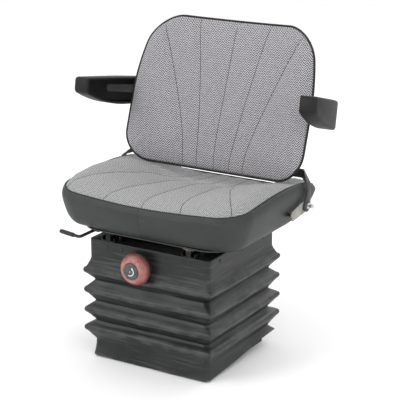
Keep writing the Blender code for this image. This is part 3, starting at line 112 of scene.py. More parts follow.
# Puckers below the front seam: place across, and strength
PUCKERS = ((0.150, 0.5), (0.178, 1.0), (0.214, 0.8), (0.235, 1.0), (-0.190, 0.8), (-0.222, 0.7))
PUCKER_DEPTH = 0.0016
PUCKER_WIDTH = 0.0045
BOXING_WAVE = 0.0011
BOXING_RIPPLE = 0.0005
UPRIGHT_SEAM_WIDTH = 0.0022
UPRIGHT_SEAM_DEPTH = 0.0013
# Boxing from hem to seam: inset from the widest outline, and share of the height
BAND_SHAPE = ((0.048, 0.0), (0.030, 0.05), (0.016, 0.22), (0.006, 0.50), (0.0, 0.80), (0.006, 1.0))
# Sewn lines down the middle and on the left half, front to rear; the right half mirrors them
SEAT_SEAMS = (((0.004, -0.204), (0.0, -0.13), (0.0, -0.02), (0.0, 0.10), (0.0, 0.245)),
              ((0.112, -0.196), (0.100, -0.160), (0.090, -0.110), (0.076, -0.02), (0.058, 0.10),
               (0.046, 0.245)),
              ((0.236, -0.165), (0.205, -0.120), (0.170, -0.060), (0.140, 0.0), (0.113, 0.10),
               (0.088, 0.245)))

# Backrest
BACK_FOOT = Vector((0, 0.145, 0.427))
BACK_TILT = radians(18.9)
BACK_UP = Vector((0, sin(BACK_TILT), cos(BACK_TILT)))
BACK_OUT = Vector((0, -cos(BACK_TILT), sin(BACK_TILT)))
BACK_LOW = 0.006
BACK_HEIGHT = 0.392
BACK_HALF_WIDTH = 0.2595
BACK_WIDEST = 0.170
BACK_TAPER = 0.80
BACK_CORNER_FOOT = 0.074
BACK_CORNER_TOP = 0.082
BACK_WRAP = 0.030
PIPING_RADIUS = 0.0024
SHELL_EDGE = 0.018
SHELL_BULGE = 0.034
SHELL_WALL = 0.003
# Shell from its rim to its middle: inset, and share of its depth
SHELL_SHAPE = ((0.002, 0.30), (0.008, 0.62), (0.024, 0.86), (0.060, 1.0), (0.110, 1.0), (0.165, 1.0))
# Sewn lines down the middle and on the left half, from the foot up
BACK_SEAMS = (((0.004, -0.01), (0.0, 0.10), (0.003, 0.25), (0.007, 0.40)),
              ((0.045, -0.01), (0.053, 0.08), (0.066, 0.18), (0.084, 0.29), (0.106, 0.40)),
              ((0.085, -0.01), (0.093, 0.06), (0.108, 0.12), (0.136, 0.205), (0.168, 0.29), (0.206, 0.38)))
BACK_RIM = PIPING_RADIUS + 0.0003
# Cover from its underside over the edge: inset, and height above the piping's plane
BACK_COVER = ((0.060, 0.0), (0.020, 0.0), (BACK_RIM + 0.0004, 0.0), (BACK_RIM, 0.0012),
              (BACK_RIM + 0.0008, 0.0034), (BACK_RIM + 0.0030, 0.0062), (BACK_RIM + 0.0065, 0.0088),
              (0.0140, 0.0110), (0.0200, 0.0126), (0.0270, 0.0138), (0.0350, 0.0146))
BACK_CROWN = 0.0150

# Padding and sewn seams
PRESSURE = 4.0
MOST_MOVE = 0.005           # furthest that the cloth may be blown out
LAST_FRAME = 20
HELD_BESIDE_SEAM = 0.004
SEAT_GROOVE = 0.0030        # how far the seams draw the cover in
BACK_GROOVE = 0.0032
GROOVE_NARROW = 0.0050      # a seam's groove is a narrow one in a wide one
GROOVE_WIDE = 0.015
SEAM_RADIUS = 0.0007
COVER_WAVE = 0.0010
COVER_RIPPLE = 0.0003

# Bellows
BELLOWS_WIDTH = 0.330
BELLOWS_DEPTH = 0.310
BELLOWS_WALL = 0.003
BELLOWS_LIP = 0.013
PANEL_OUT = 0.006           # how far the top panel stands outside the valleys
BELLOWS_TOP = 0.3113
FRAME_TOP = 0.3083
FOLD_DEPTH = 0.019
FOLD_EDGE = 0.0022          # half the blunt edge of a fold
# Fold above and below its edge: share of its depth, height from the ridge, share of the fold
FOLD_ABOVE = ((0.74, 0.0092, 0.5), (0.94, 0.0056, 0.9))
FOLD_BELOW = ((0.92, -0.0054, 0.8), (0.70, -0.0090, 0.4))
RUBBER_SAG = 0.0018
RUBBER_WAVE = 0.0016
RUBBER_RIPPLE = 0.0005
RUBBER_RISE = 0.0018
TOP_PANEL_FOOT = 0.262
RIDGE_HEIGHTS = (0.229, 0.177, 0.125, 0.077)
VALLEY_HEIGHTS = (0.203, 0.148, 0.097)
SKIRT_TOP = 0.046
SKIRT_FLARE = 0.004
SKIRT_LIFT = 0.034
SKIRT_CURL = 0.012
FLOOR_CLEARANCE = 0.002
RIVET_RADIUS = 0.0048
RIVET_HEIGHT = 0.0016
RIVET_Z = 0.297
RIVETS_ACROSS = (-0.118, -0.074, 0.052, 0.118)
RIVETS_ALONG = (-0.105, 0.0, 0.105)

# Knob
KNOB_X = -0.020
KNOB_Z = 0.265
COLLAR_RADIUS = 0.032
COLLAR_FRONT = -0.177
COLLAR_REAR = -0.152
KNOB_RADIUS = 0.040
KNOB_REAR = -0.1773
KNOB_NOSE = -0.2033
KNOB_CAP_RADIUS = 0.0205
KNOB_BORE = 0.0063
CAP_GAP = 0.0003
# Outside of the grip from rear to nose: radius, y
GRIP_CURVE = ((KNOB_RADIUS - 0.0035, KNOB_REAR), (KNOB_RADIUS - 0.0006, KNOB_REAR - 0.0018),
              (KNOB_RADIUS, KNOB_REAR - 0.0050), (KNOB_RADIUS - 0.0012, KNOB_REAR - 0.0105),
              (KNOB_RADIUS - 0.0052, KNOB_NOSE + 0.0085), (KNOB_RADIUS - 0.0100, KNOB_NOSE + 0.0030),
              (KNOB_CAP_RADIUS + 0.0055, KNOB_NOSE + 0.0004), (KNOB_CAP_RADIUS + 0.0018, KNOB_NOSE))


# Shader maths

class Signal:
    """A socket in a material's nodes, so that shader maths reads as ordinary expressions."""

    def __init__(self, tree, socket):
        self.tree = tree
        self.socket = socket

    def via(self, kind, inputs, output=0, **settings):
        """Any other node: its settings, its inputs by name or number, and one of its outputs."""
        made = self.tree.nodes.new(kind)
        for key, value in settings.items():
            setattr(made, key, value)
        for place, value in inputs.items():
            if isinstance(value, Signal):
                self.tree.links.new(value.socket, made.inputs[place])
            else:
                made.inputs[place].default_value = value
        return Signal(self.tree, made.outputs[output])

    def maths(self, operation, *others):
        return self.via("ShaderNodeMath", dict(enumerate((self,) + others)), operation=operation)

    def __add__(self, other):
        return self.maths("ADD", other)

    def __sub__(self, other):
        return self.maths("SUBTRACT", other)

    def __rsub__(self, other):
        return (self * -1) + other

    def __mul__(self, other):
        return self.maths("MULTIPLY", other)

    __radd__ = __add__
    __rmul__ = __mul__

    def __truediv__(self, other):
        return self.maths("DIVIDE", other)

    def __abs__(self):
        return self.maths("ABSOLUTE")

    def sine(self):
        return self.maths("SINE")

    def fraction(self):
        return self.maths("FRACT")

    def most(self, other):
        return self.maths("MAXIMUM", other)

    def axis(self, number):
        return self.via("ShaderNodeSeparateXYZ", {0: self}, output=number)

    def grain(self, scale, detail=2.0):
        """Noise from this place, about 0.3 to 0.7."""
        return self.via("ShaderNodeTexNoise", {"Vector": self, "Scale": scale, "Detail": detail})

    def stretched(self, factors):
        return self.via("ShaderNodeVectorMath", {0: self, 1: factors}, operation="MULTIPLY")

    def ramp(self, low, high, start=0.0, end=1.0):
        """Smoothly from start to end as this signal goes from low to high."""
        return self.via("ShaderNodeMapRange", {0: self, 1: low, 2: high, 3: start, 4: end},
                        interpolation_type="SMOOTHSTEP")

    def tint(self, first, second):
        """One colour to another as this signal goes from 0 to 1."""
        return self.via("ShaderNodeMix", {0: self, 6: colour_of(first), 7: colour_of(second)},
                        output=2, data_type="RGBA")


def colour_of(value):
    """A colour as a signal, or as numbers with full cover."""
    return value if isinstance(value, Signal) else (*value, 1.0)


def begin(name):
    """A new material and the object-space place on its surface."""
    made = bpy.data.materials.new(name)
    made.use_nodes = True
    tree = made.node_tree
    place = Signal(tree, tree.nodes.new("ShaderNodeTexCoord").outputs["Object"])
    return made, place


def attribute_of(place, name):
    """A value that a piece's mesh carries at each point."""
    return place.via("ShaderNodeAttribute", {}, output=2, attribute_name=name)


def complete(made, height=None, depth=0.001, **values):
    """Set the shader's sockets, and bump it by a height of 0 to 1 that is depth metres tall."""
    tree = made.node_tree
    shader = tree.nodes["Principled BSDF"]
    for name, value in values.items():
        target = shader.inputs[name.replace("_", " ")]
        if isinstance(value, Signal):
            tree.links.new(value.socket, target)
        else:
            target.default_value = value
    if height is not None:
        bump = height.via("ShaderNodeBump", {"Height": height, "Distance": depth, "Strength": 1.0})
        tree.links.new(bump.socket, shader.inputs["Normal"])
    return made


# Materials

def woven(name, up, dark, light):
    """Salt-and-pepper woven cover: short light and dark floats on diagonals that turn about."""
    made, place = begin(name)
    across = place.axis(0)
    along = place.axis(1) * up[0] + place.axis(2) * up[1]
    zig = abs((across / 0.0170).fraction() - 0.5) * 0.0170
    twill = ((along + zig * 1.1) * (2 * pi / 0.0062)).sine()
    rib = ((along * 0.45 - zig) * (2 * pi / 0.0042)).sine()
    cell = place.via("ShaderNodeVectorMath", {0: place, 1: (0.0024, 0.0024, 0.0024)}, operation="SNAP")
    float_tone = cell.via("ShaderNodeTexWhiteNoise", {"Vector": cell})
    thread = twill * 0.50 + rib * 0.10 + float_tone * 0.30 + 0.35
    level = (thread + (place.grain(1300.0, 1.0) - 0.5) * 0.3).ramp(0.24, 0.76)
    cloud = place.grain(5.0, 3.0).ramp(0.30, 0.70)
    between = tuple((a + b) * 0.42 for a, b in zip(dark, light))
    colour = (cloud * 0.12).tint(level.tint(dark, light), between)
    return complete(made, height=thread, depth=0.0005, Base_Color=colour,
                    Roughness=0.92, Sheen_Weight=0.20, Sheen_Roughness=0.5)


def vinyl(name, base=(0.0205, 0.0240, 0.0222)):
    """Leather-grained boxing, a little shiny where it is handled."""
    made, place = begin(name)
    cells = place.via("ShaderNodeTexVoronoi", {"Vector": place, "Scale": 620.0})
    leather = cells * 0.7 + place.grain(1400.0) * 0.3
    cloud = place.grain(14.0, 4.0)
    light = tuple(c * 1.35 for c in base)
    scuff = place.stretched((1.0, 1.0, 3.0)).grain(55.0, 5.0).ramp(0.62, 0.74)
    colour = scuff.tint(cloud.ramp(0.3, 0.7).tint(base, light), tuple(c * 1.9 for c in base))
    return complete(made, height=leather, depth=0.00035, Base_Color=colour,
                    Roughness=cloud * 0.22 + scuff * 0.12 + 0.38, Specular_IOR_Level=0.34)


def bellows_rubber():
    """Satin rubber, dark in its valleys, with painted sheen streaks and ridges paler from dust, rubbing and a
    painted highlight.
    """
    made, place = begin("bellows_rubber_worn_and_painted_sheen")
    fold = attribute_of(place, "fold")
    cloud = place.grain(9.0, 5.0)
    streak = place.stretched((0.06, 0.06, 1.0)).grain(150.0, 4.0)
    base = cloud.ramp(0.32, 0.70).tint((0.0050, 0.0062, 0.0058), (0.0160, 0.0182, 0.0170))
    # Painted sheen: the colour is lighter along level streaks.
    sheen = (streak.ramp(0.50, 0.70) * 0.55).tint(base, (0.060, 0.065, 0.061))
    # Ridges paler, partly from dust and rubbing, partly as a painted highlight; the valleys keep the dark
    # base.
    rubbing_and_painted_highlight = fold * place.stretched((0.5, 0.5, 1.0)).grain(60.0, 4.0).ramp(0.35, 0.65) * 0.7
    colour = rubbing_and_painted_highlight.tint(sheen, (0.055, 0.059, 0.056))
    height = place.grain(380.0, 3.0) * 0.35 + streak * 0.9
    return complete(made, height=height, depth=0.0007, Base_Color=colour,
                    Roughness=cloud * 0.26 + streak * 0.20 + 0.22, Specular_IOR_Level=0.36)


def moulded(name, base, rough, texture=900.0, depth=0.00025):
    """Grained moulded plastic with faint rubbed patches."""
    made, place = begin(name)
    grain = place.grain(texture, 3.0)
    # In moulded plastic these paler patches are rubbing only.
    rubbing_and_painted_highlight = place.grain(22.0, 5.0).ramp(0.50, 0.72)
    scratch = place.stretched((6.0, 1.0, 1.0)).grain(160.0, 5.0).ramp(0.66, 0.72)
    colour = rubbing_and_painted_highlight.tint(base, tuple(c * 1.5 for c in base))
    colour = (scratch * 0.5).tint(colour, tuple(c * 2.6 + 0.01 for c in base))
    return complete(made, height=grain, depth=depth, Base_Color=colour,
                    Roughness=rubbing_and_painted_highlight * 0.10 + grain * 0.12 + rough, Specular_IOR_Level=0.28)


def painted(name, base, rough):
    """Satin paint on pressed steel, thin and lighter where it has worn."""
    made, place = begin(name)
    peel = place.grain(260.0, 3.0)
    chip = place.grain(48.0, 6.0).ramp(0.66, 0.71)
    dust = place.grain(11.0, 4.0).ramp(0.45, 0.75)
    colour = (dust * 0.35).tint(base, (0.11, 0.105, 0.098))
    colour = chip.tint(colour, (0.20, 0.19, 0.18))
    return complete(made, height=peel - chip * 0.6, depth=0.00015, Base_Color=colour,
                    Metallic=chip * 0.7 + 0.05, Roughness=peel * 0.15 + dust * 0.15 + rough)


def plated(name, base, rough):
    """Zinc-plated or bright steel: drawn lines, dull bloom and a little grime."""
    made, place = begin(name)
    drawn = place.stretched((1.0, 0.06, 0.06)).grain(800.0, 2.0)
    bloom = place.grain(60.0, 5.0)
    grime = place.grain(25.0, 4.0).ramp(0.56, 0.74)
    colour = bloom.ramp(0.3, 0.7).tint(base, tuple(c * 0.72 for c in base))
    colour = grime.tint(colour, (0.20, 0.17, 0.13))
    return complete(made, height=drawn, depth=0.00006, Base_Color=colour,
                    Metallic=0.95 - grime * 0.6, Roughness=bloom * 0.3 + grime * 0.25 + rough)


def knob_red():
    """Faded red plastic with grime, a painted highlight towards its crown and painted shade at its outer rim.
    """
    made, place = begin("knob_red_faded_and_painted_shading")
    x = place.axis(0) - KNOB_X
    z = place.axis(2) - KNOB_Z
    radius = (x * x + z * z).maths("SQRT")
    cloud = place.grain(60.0, 5.0)
    # Painted highlight: paler towards the crown, in blotches.
    crown_highlight = radius.ramp(0.026, 0.036, 1.0, 0.0)
    faded = cloud.ramp(0.30, 0.68).tint((0.240, 0.055, 0.048), (0.340, 0.135, 0.115))
    colour = (crown_highlight * cloud * 0.8).tint(faded, (0.400, 0.215, 0.185))
    # Painted shade: darker towards the outer rim.
    colour = radius.ramp(0.0345, 0.0400, 0.0, 0.75).tint(colour, (0.110, 0.030, 0.028))
    grime = place.grain(130.0, 4.0).ramp(0.56, 0.68)
    colour = (grime * 0.55).tint(colour, (0.130, 0.070, 0.062))
    return complete(made, height=place.grain(500.0), depth=0.0002, Base_Color=colour,
                    Roughness=cloud * 0.25 + 0.30)


def knob_cap():
    """Dark cap with a white turn arrow, an open ring with a point, and a dot in its middle."""
    made, place = begin("knob_cap_marked")
    x = place.axis(0) - KNOB_X
    z = place.axis(2) - KNOB_Z
    radius = (x * x + z * z).maths("SQRT")
    angle = z.maths("ARCTAN2", x)
    ring = abs(radius - 0.0098).ramp(0.0009, 0.0014, 1.0, 0.0)
    sweep = abs(angle + 0.55).ramp(1.45, 1.52, 1.0, 0.0)
    head = (abs(x - 0.0062) + abs(z - 0.0082) * 0.8).ramp(0.0026, 0.0032, 1.0, 0.0)
    dot = radius.ramp(0.0012, 0.0017, 1.0, 0.0)
    mark = (ring * sweep).most(head).most(dot)
    mark = mark * place.grain(420.0, 3.0).ramp(0.28, 0.42)
    cloud = place.grain(120.0, 4.0)
    base = cloud.ramp(0.3, 0.7).tint((0.040, 0.042, 0.047), (0.075, 0.077, 0.083))
    colour = mark.tint(base, (0.62, 0.62, 0.60))
    return complete(made, height=place.grain(700.0) + mark * 0.3, depth=0.0002, Base_Color=colour,
                    Roughness=cloud * 0.2 + 0.35)


def floor_paint():
    """Plain pale floor."""
    made, place = begin("floor_pale")
    tone = place.grain(3.0, 3.0)
    return complete(made, Base_Color=tone.tint((0.93, 0.93, 0.93), (0.95, 0.95, 0.95)),
                    Roughness=tone * 0.05 + 0.75)


MATERIALS = {
    "seat": woven("seat_weave", (1.0, 1.0), (0.075, 0.075, 0.077), (0.480, 0.480, 0.486)),
    "back": woven("back_weave", (BACK_UP.y, BACK_UP.z), (0.036, 0.034, 0.038), (0.500, 0.488, 0.512)),
    "vinyl": vinyl("boxing_vinyl"),
    "piping": vinyl("piping_vinyl", (0.0050, 0.0052, 0.0056)),
    "rubber": bellows_rubber(),
    "shell": moulded("shell_black", (0.022, 0.023, 0.024), 0.42, 520.0, 0.0004),
    "armrest": moulded("armrest_black", (0.0060, 0.0060, 0.0063), 0.48),
    "collar": moulded("collar_black", (0.020, 0.020, 0.021), 0.40),
    "lever": moulded("lever_black", (0.026, 0.026, 0.027), 0.33),
    "nylon": moulded("roller_nylon", (0.52, 0.51, 0.46), 0.40),
    "frame": painted("frame_paint", (0.024, 0.024, 0.026), 0.40),
    "arm": painted("arm_paint", (0.030, 0.029, 0.029), 0.36),
    "zinc": plated("bracket_zinc", (0.40, 0.39, 0.36), 0.30),
    # Painted shade: the plated rails are coloured near black because they sit in shade under the seat and the
    # bellows' top.
    "rail": plated("rail_steel_painted_shade", (0.030, 0.030, 0.029), 0.42),
    "bright": plated("bright_steel", (0.66, 0.66, 0.65), 0.14),
    "red": knob_red(),
    "cap": knob_cap(),
    "thread": moulded("sewing_thread", (0.045, 0.046, 0.048), 0.60, 1500.0),
    "floor": floor_paint(),
}


# Pieces

def place_piece(name, mesh, material, body_name, replaced=(), smooth_angle=None):
    """Make an object from a bmesh, paint it, and let it ride on its body."""
    bmesh.ops.recalc_face_normals(mesh, faces=mesh.faces)
    if mesh.calc_volume(signed=True) < 0:
        bmesh.ops.reverse_faces(mesh, faces=mesh.faces)
    data = bpy.data.meshes.new(name)
    mesh.to_mesh(data)
    mesh.free()
    item = bpy.data.objects.new(name, data)
    bpy.context.collection.objects.link(item)
    data.shade_smooth()
    if smooth_angle:
        data.set_sharp_from_angle(angle=radians(smooth_angle))
    data.materials.append(MATERIALS[material])
    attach(item, body_name)
    if replaced:
        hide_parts(*replaced)
    return item


def lofted(rings, closed=False, mesh=None):
    """Four-sided faces over a row of equal rings, capped at both ends or closed on itself."""
    mesh = mesh or bmesh.new()
    loops = [[mesh.verts.new(point) for point in ring] for ring in rings]
    count = len(loops[0])
    pairs = list(zip(loops, loops[1:]))
    if closed:
        pairs.append((loops[-1], loops[0]))
    for low, high in pairs:
        for i in range(count):
            j = (i + 1) % count
            mesh.faces.new((low[i], low[j], high[j], high[i]))
    if not closed:
        mesh.faces.new(list(reversed(loops[0])))
        mesh.faces.new(loops[-1])
    return mesh


def tube(points, radius, sides=10, loop=False, mesh=None, flat=1.0, normals=None):
    """A round or flattened cord along points; its ends are closed unless it is a loop."""
    rings = []
    count = len(points)
    for i, point in enumerate(points):
        before = points[i - 1] if i or loop else points[0]
        after = points[(i + 1) % count] if i < count - 1 or loop else points[-1]
        ahead = (after - before).normalized()
        guide = normals[i] if normals else Vector((0.13, 0.29, 0.95))
        side = ahead.cross(guide).normalized()
        rise = side.cross(ahead)
        rings.append([point + side * (radius * cos(2 * pi * k / sides))
                      + rise * (radius * flat * sin(2 * pi * k / sides)) for k in range(sides)])
    return lofted(rings, closed=loop, mesh=mesh)


def turned(profile, sides=72):
    """A closed profile of (radius, y) turned about the knob's axis."""
    rings = []
    for radius, y in profile:
        rings.append([(KNOB_X + radius * cos(2 * pi * i / sides), y,
                       KNOB_Z + radius * sin(2 * pi * i / sides)) for i in range(sides)])
    return rings


def eased(value, start, end):
    """From 0 to 1, smoothly, as a value goes from start to end."""
    share = min(max((value - start) / (end - start), 0.0), 1.0)
    return share * share * (3 - 2 * share)


def along_line(points, value):
    """Second number where the first reaches a value, on straight lines between points."""
    for (a, b), (c, d) in zip(points, points[1:]):
        if value <= c:
            return b + (d - b) * min(max((value - a) / (c - a), 0.0), 1.0)
    return points[-1][1]


def spline(points, steps):
    """Catmull-Rom curve through points given as tuples of any length."""
    points = [Vector(p) for p in points]
    padded = [points[0] * 2 - points[1]] + points + [points[-1] * 2 - points[-2]]
    curve = []
    for a, b, c, d in zip(padded, padded[1:], padded[2:], padded[3:]):
        for k in range(steps):
            t = k / steps
            curve.append(0.5 * ((2 * b) + (c - a) * t + (2 * a - 5 * b + 4 * c - d) * t * t
                                + (3 * b - a - 3 * c + d) * t ** 3))
    curve.append(points[-1])
    return curve


def plan(half_x, front, rear, front_radius, rear_radius, inset=0.0, bow=0.0,
         corner_steps=CORNER_STEPS, edge_steps=EDGE_STEPS):
    """A rounded outline in plan with the same number of points at any inset."""
    half = half_x - inset
    low, high = front + inset, rear - inset
    near, far = max(front_radius - inset, 0.003), max(rear_radius - inset, 0.003)
    arcs = []
    for side, y, radius, first in ((-1, low, near, pi), (1, low, near, 1.5 * pi), (1, high, far, 0.0),
                                   (-1, high, far, 0.5 * pi)):
        centre = (side * (half - radius), y + radius if y == low else y - radius)
        arcs.append([(centre[0] + radius * cos(first + pi / 2 * i / corner_steps),
                      centre[1] + radius * sin(first + pi / 2 * i / corner_steps))
                     for i in range(corner_steps + 1)])
    points = []
    for arc, following in zip(arcs, arcs[1:] + arcs[:1]):
        points.extend(arc)
        for i in range(1, edge_steps):
            share = i / edge_steps
            points.append(tuple(a + (b - a) * share for a, b in zip(arc[-1], following[0])))
    middle = (low + high) / 2
    reach = (middle - low) * 0.3
    return [(x, y - bow * (1 - (x / half) ** 2) * eased(y, middle - reach, low + reach) if y < middle else y)
            for x, y in points]


def wobble(point, size, seed):
    """Smooth repeatable noise from -1 to 1 at a place, for folds and dents of about a given size."""
    return noise.noise(Vector(point) / size + Vector((seed, seed * 1.7, seed * 0.3)))


# Seat boxing

def seat_outline(inset):
    """Seat in plan; its bowed front flattens inwards."""
    return plan(SEAT_HALF_WIDTH, SEAT_FRONT, SEAT_REAR, SEAT_CORNER_FRONT, SEAT_CORNER_REAR, inset,
                SEAT_FRONT_BOW * max(1 - inset / 0.2, 0))


def hem_height(y):
    """Height of the boxing's lower edge."""
    return HEM_HEIGHT + HEM_RISE * eased(y, HEM_RISE_START, SEAT_REAR)


def seam_height(x, y):
    """Height of the seam between boxing and fabric: level in front, in a wave along the sides."""
    front = SEAM_FRONT + SEAM_CORNER_RISE * min(abs(x) / SEAM_CORNER_X, 1.0) ** 2
    share = eased(y, -0.200, -0.130) * eased(abs(x), 0.15, 0.25)
    return front + (along_line(SEAM_LINE, y) - front) * max(share, eased(y, -0.1, 0.0))


def evened(values, reach):
    """A ring of numbers, each the mean of its neighbours."""
    count = len(values)
    return [sum(values[(i + k) % count] for k in range(-reach, reach + 1)) / (2 * reach + 1)
            for i in range(count)]


seat_rim = seat_outline(0.0)
rim_seams = evened([seam_height(x, y) for x, y in seat_rim], 9)
rim_hems = [hem_height(y) for _, y in seat_rim]


def crease_depth(x, y, share):
    """Puckers under the seam at the front corners, and soft waves lower down."""
    under_seam = exp(-((share - 1.0) / 0.20) ** 2)
    depth = 0.0
    for where, strength in PUCKERS:
        if y < -0.09:
            depth += strength * PUCKER_DEPTH * exp(-((x - where) / PUCKER_WIDTH) ** 2) * under_seam
    middle = sin(pi * min(max(share, 0.0), 1.0))
    depth += BOXING_WAVE * wobble((x, y, share * 0.08), 0.075, 3.1) * middle
    depth += BOXING_RIPPLE * wobble((x, y, share * 0.08), 0.025, 8.4) * middle
    upright = exp(-(x / UPRIGHT_SEAM_WIDTH) ** 2) if y < 0 else 0.0
    return depth + UPRIGHT_SEAM_DEPTH * upright


def make_boxing():
    """Vinyl band round the seat, with its rolled hem and edge seam; gives its outside rings."""
    profile = spline(BAND_SHAPE, 5)
    outlines = [seat_outline(max(inset, 0.0)) for inset, _ in profile]
    inner_outlines = [seat_outline(max(inset, 0.0) + BAND_WALL) for inset, _ in profile]
    outside, inside = [], []
    for (inset, share), outline, inner in zip(profile, outlines, inner_outlines):
        ring, back = [], []
        for i, (x, y) in enumerate(outline):
            z = rim_hems[i] + (rim_seams[i] - rim_hems[i]) * share
            away = Vector((inner[i][0] - x, inner[i][1] - y, 0)).normalized()
            ring.append(Vector((x, y, z)) + away * crease_depth(x, y, share))
            back.append(Vector((inner[i][0], inner[i][1], z + (HEM_LIP if share < 0.06 else 0.0))))
        outside.append(ring)
        inside.append(back)
    mesh = lofted(outside + list(reversed(inside[::3] + [inside[-1]])), closed=True)
    place_piece("boxing", mesh, "vinyl", "carriage", ("cushion_band",))

    hem = [Vector((x, y, rim_hems[i] - 0.0008)) for i, (x, y) in enumerate(seat_outline(HEM_INSET))]
    place_piece("boxing_hem", tube(hem, HEM_RADIUS, 8, loop=True), "vinyl", "carriage")
    top = [Vector((x, y, rim_seams[i] - 0.0002)) for i, (x, y) in enumerate(seat_outline(EDGE_SEAM_INSET))]
    place_piece("seat_edge_seam", tube(top, EDGE_SEAM_RADIUS, 8, loop=True), "piping", "carriage")
    return outside


def stitches(name, path, normals, length, pitch, body_name):
    """A row of short threads that stand a little proud along a path."""
    mesh = bmesh.new()
    walked, next_start = 0.0, 0.0
    for i in range(len(path) - 1):
        step = path[i + 1] - path[i]
        while next_start < walked + step.length:
            start = path[i] + step.normalized() * (next_start - walked)
            end = start + step.normalized() * length
            up = normals[i] * STITCH_RADIUS
            points = [start - up * 0.8, start + up * 0.3, (start + end) / 2 + up * 0.7, end + up * 0.3,
                      end - up * 0.8]
            tube(points, STITCH_RADIUS, 6, mesh=mesh, normals=[normals[i]] * 5)
            next_start += pitch
        walked += step.length
    place_piece(name, mesh, "thread", body_name)


def boxing_stitches(outside):
    """Two rows beside the upright seam in the middle of the front, and one under the edge seam."""
    front = Vector((0, -1, 0))
    middle = min(range(len(seat_rim)), key=lambda i: abs(seat_rim[i][0]) + (seat_rim[i][1] > 0))
    for side in (-1, 1):
        column = [ring[middle] + Vector((side * STITCHES_BESIDE, 0.0002, 0)) for ring in outside[9:]]
        stitches("seam_stitches_" + ("right" if side < 0 else "left"), column, [front] * len(column),
                 STITCH_LENGTH, STITCH_PITCH, "carriage")
    joint = [ring[middle] + Vector((0, 0.0004, 0)) for ring in outside[6:]]
    place_piece("boxing_joint", tube(joint, JOINT_RADIUS, 6, normals=[front] * len(joint)), "piping",
                "carriage")
    level = outside[-3]
    row = [level[i] for i in range(len(level)) if level[i].y < 0.10]
    row.sort(key=lambda p: atan2(p.x, -(p.y - 0.25)))
    outward = [Vector((p.x, p.y + 0.02, 0)).normalized() for p in row]
    stitches("edge_stitches", row, outward, EDGE_STITCH_LENGTH, EDGE_STITCH_PITCH, "carriage")


# Padded cushions

def filled(mesh, loop, flat, lift):
    """A grid inside a ring whose flat outline is given; lift takes a flat point to its place."""
    count = len(loop)
    size = count // 4
    first = CORNER_STEPS // 2
    order = [[(first + k * size + i) % count for i in range(size + 1)] for k in range(4)]
    foot, right, top, left = order[0], order[1], order[2][::-1], order[3][::-1]
    foot_line, right_line, top_line, left_line = ([Vector(flat[i]) for i in side]
                                                  for side in (foot, right, top, left))
    grid = [[None] * (size + 1) for _ in range(size + 1)]
    for i in range(size + 1):
        s = i / size
        for j in range(size + 1):
            t = j / size
            if j in (0, size):
                grid[i][j] = loop[(foot if j == 0 else top)[i]]
            elif i in (0, size):
                grid[i][j] = loop[(left if i == 0 else right)[j]]
            else:
                across = foot_line[i] * (1 - t) + top_line[i] * t
                up = left_line[j] * (1 - s) + right_line[j] * s
                front = foot_line[0] * (1 - s) + foot_line[-1] * s
                back = top_line[0] * (1 - s) + top_line[-1] * s
                grid[i][j] = mesh.verts.new(lift(*(across + up - front * (1 - t) - back * t)))
    for i in range(size):
        for j in range(size):
            mesh.faces.new((grid[i][j], grid[i + 1][j], grid[i + 1][j + 1], grid[i][j + 1]))


def quilted(rings, flat, lift):
    """Even four-sided faces: rings over the edge, with a grid inside the first and the last."""
    mesh = bmesh.new()
    loops = [[mesh.verts.new(point) for point in ring] for ring in rings]
    count = len(flat)
    for low, high in zip(loops, loops[1:]):
        for i in range(count):
            j = (i + 1) % count
            mesh.faces.new((low[i], low[j], high[j], high[i]))
    filled(mesh, loops[0], rings[0], lambda *place: Vector(place))
    filled(mesh, loops[-1], flat, lift)
    bmesh.ops.recalc_face_normals(mesh, faces=mesh.faces)
    return mesh


def applied(item):
    """Replace an object's mesh by what its modifiers make of it."""
    graph = bpy.context.evaluated_depsgraph_get()
    result = bpy.data.meshes.new_from_object(item.evaluated_get(graph))
    item.modifiers.clear()
    item.data = result


def sewn_distances(points, lines):
    """Distance from each flat point to the nearest sewn line."""
    points = np.array([tuple(point) for point in points])
    best = np.ones(len(points))
    for line in lines:
        for a, b in zip(line, line[1:]):
            start, span = np.array(a), np.array(b - a)
            share = np.clip((points - start) @ span / (span @ span), 0.0, 1.0)
            away = points - start - share[:, None] * span
            best = np.minimum(best, np.sqrt((away * away).sum(axis=1)))
    return best


def both_sides(lines):
    """Sewn lines as curves, with all but the middle one mirrored."""
    curves = []
    for k, line in enumerate(lines):
        curve = [Vector(p) for p in spline(line, 8)]
        curves.append(curve)
        if k:
            curves.append([Vector((-p.x, p.y)) for p in curve])
    return curves


def inflate(item, held):
    """Blow a cushion's cover up between its held places with a cloth simulation."""
    before = [v.co.copy() for v in item.data.vertices]
    group = item.vertex_groups.new(name="held")
    for index, weight in enumerate(held):
        if weight > 0:
            group.add([index], weight, "REPLACE")
    cloth = item.modifiers.new("Cloth", "CLOTH")
    cloth.settings.use_pressure = True
    cloth.settings.uniform_pressure_force = PRESSURE
    cloth.settings.effector_weights.gravity = 0
    cloth.settings.vertex_group_mass = "held"
    cloth.settings.quality = 4
    cloth.settings.mass = 0.3
    cloth.settings.tension_stiffness = 12
    cloth.settings.compression_stiffness = 12
    cloth.settings.bending_stiffness = 1.2
    cloth.point_cache.frame_start = 1
    cloth.point_cache.frame_end = LAST_FRAME
    for step in range(1, LAST_FRAME + 1):
        bpy.context.scene.frame_set(step)
    applied(item)
    bpy.context.scene.frame_set(1)
    for vertex, start in zip(item.data.vertices, before):
        move = vertex.co - start
        if move.length > MOST_MOVE:
            vertex.co = start + move.normalized() * MOST_MOVE


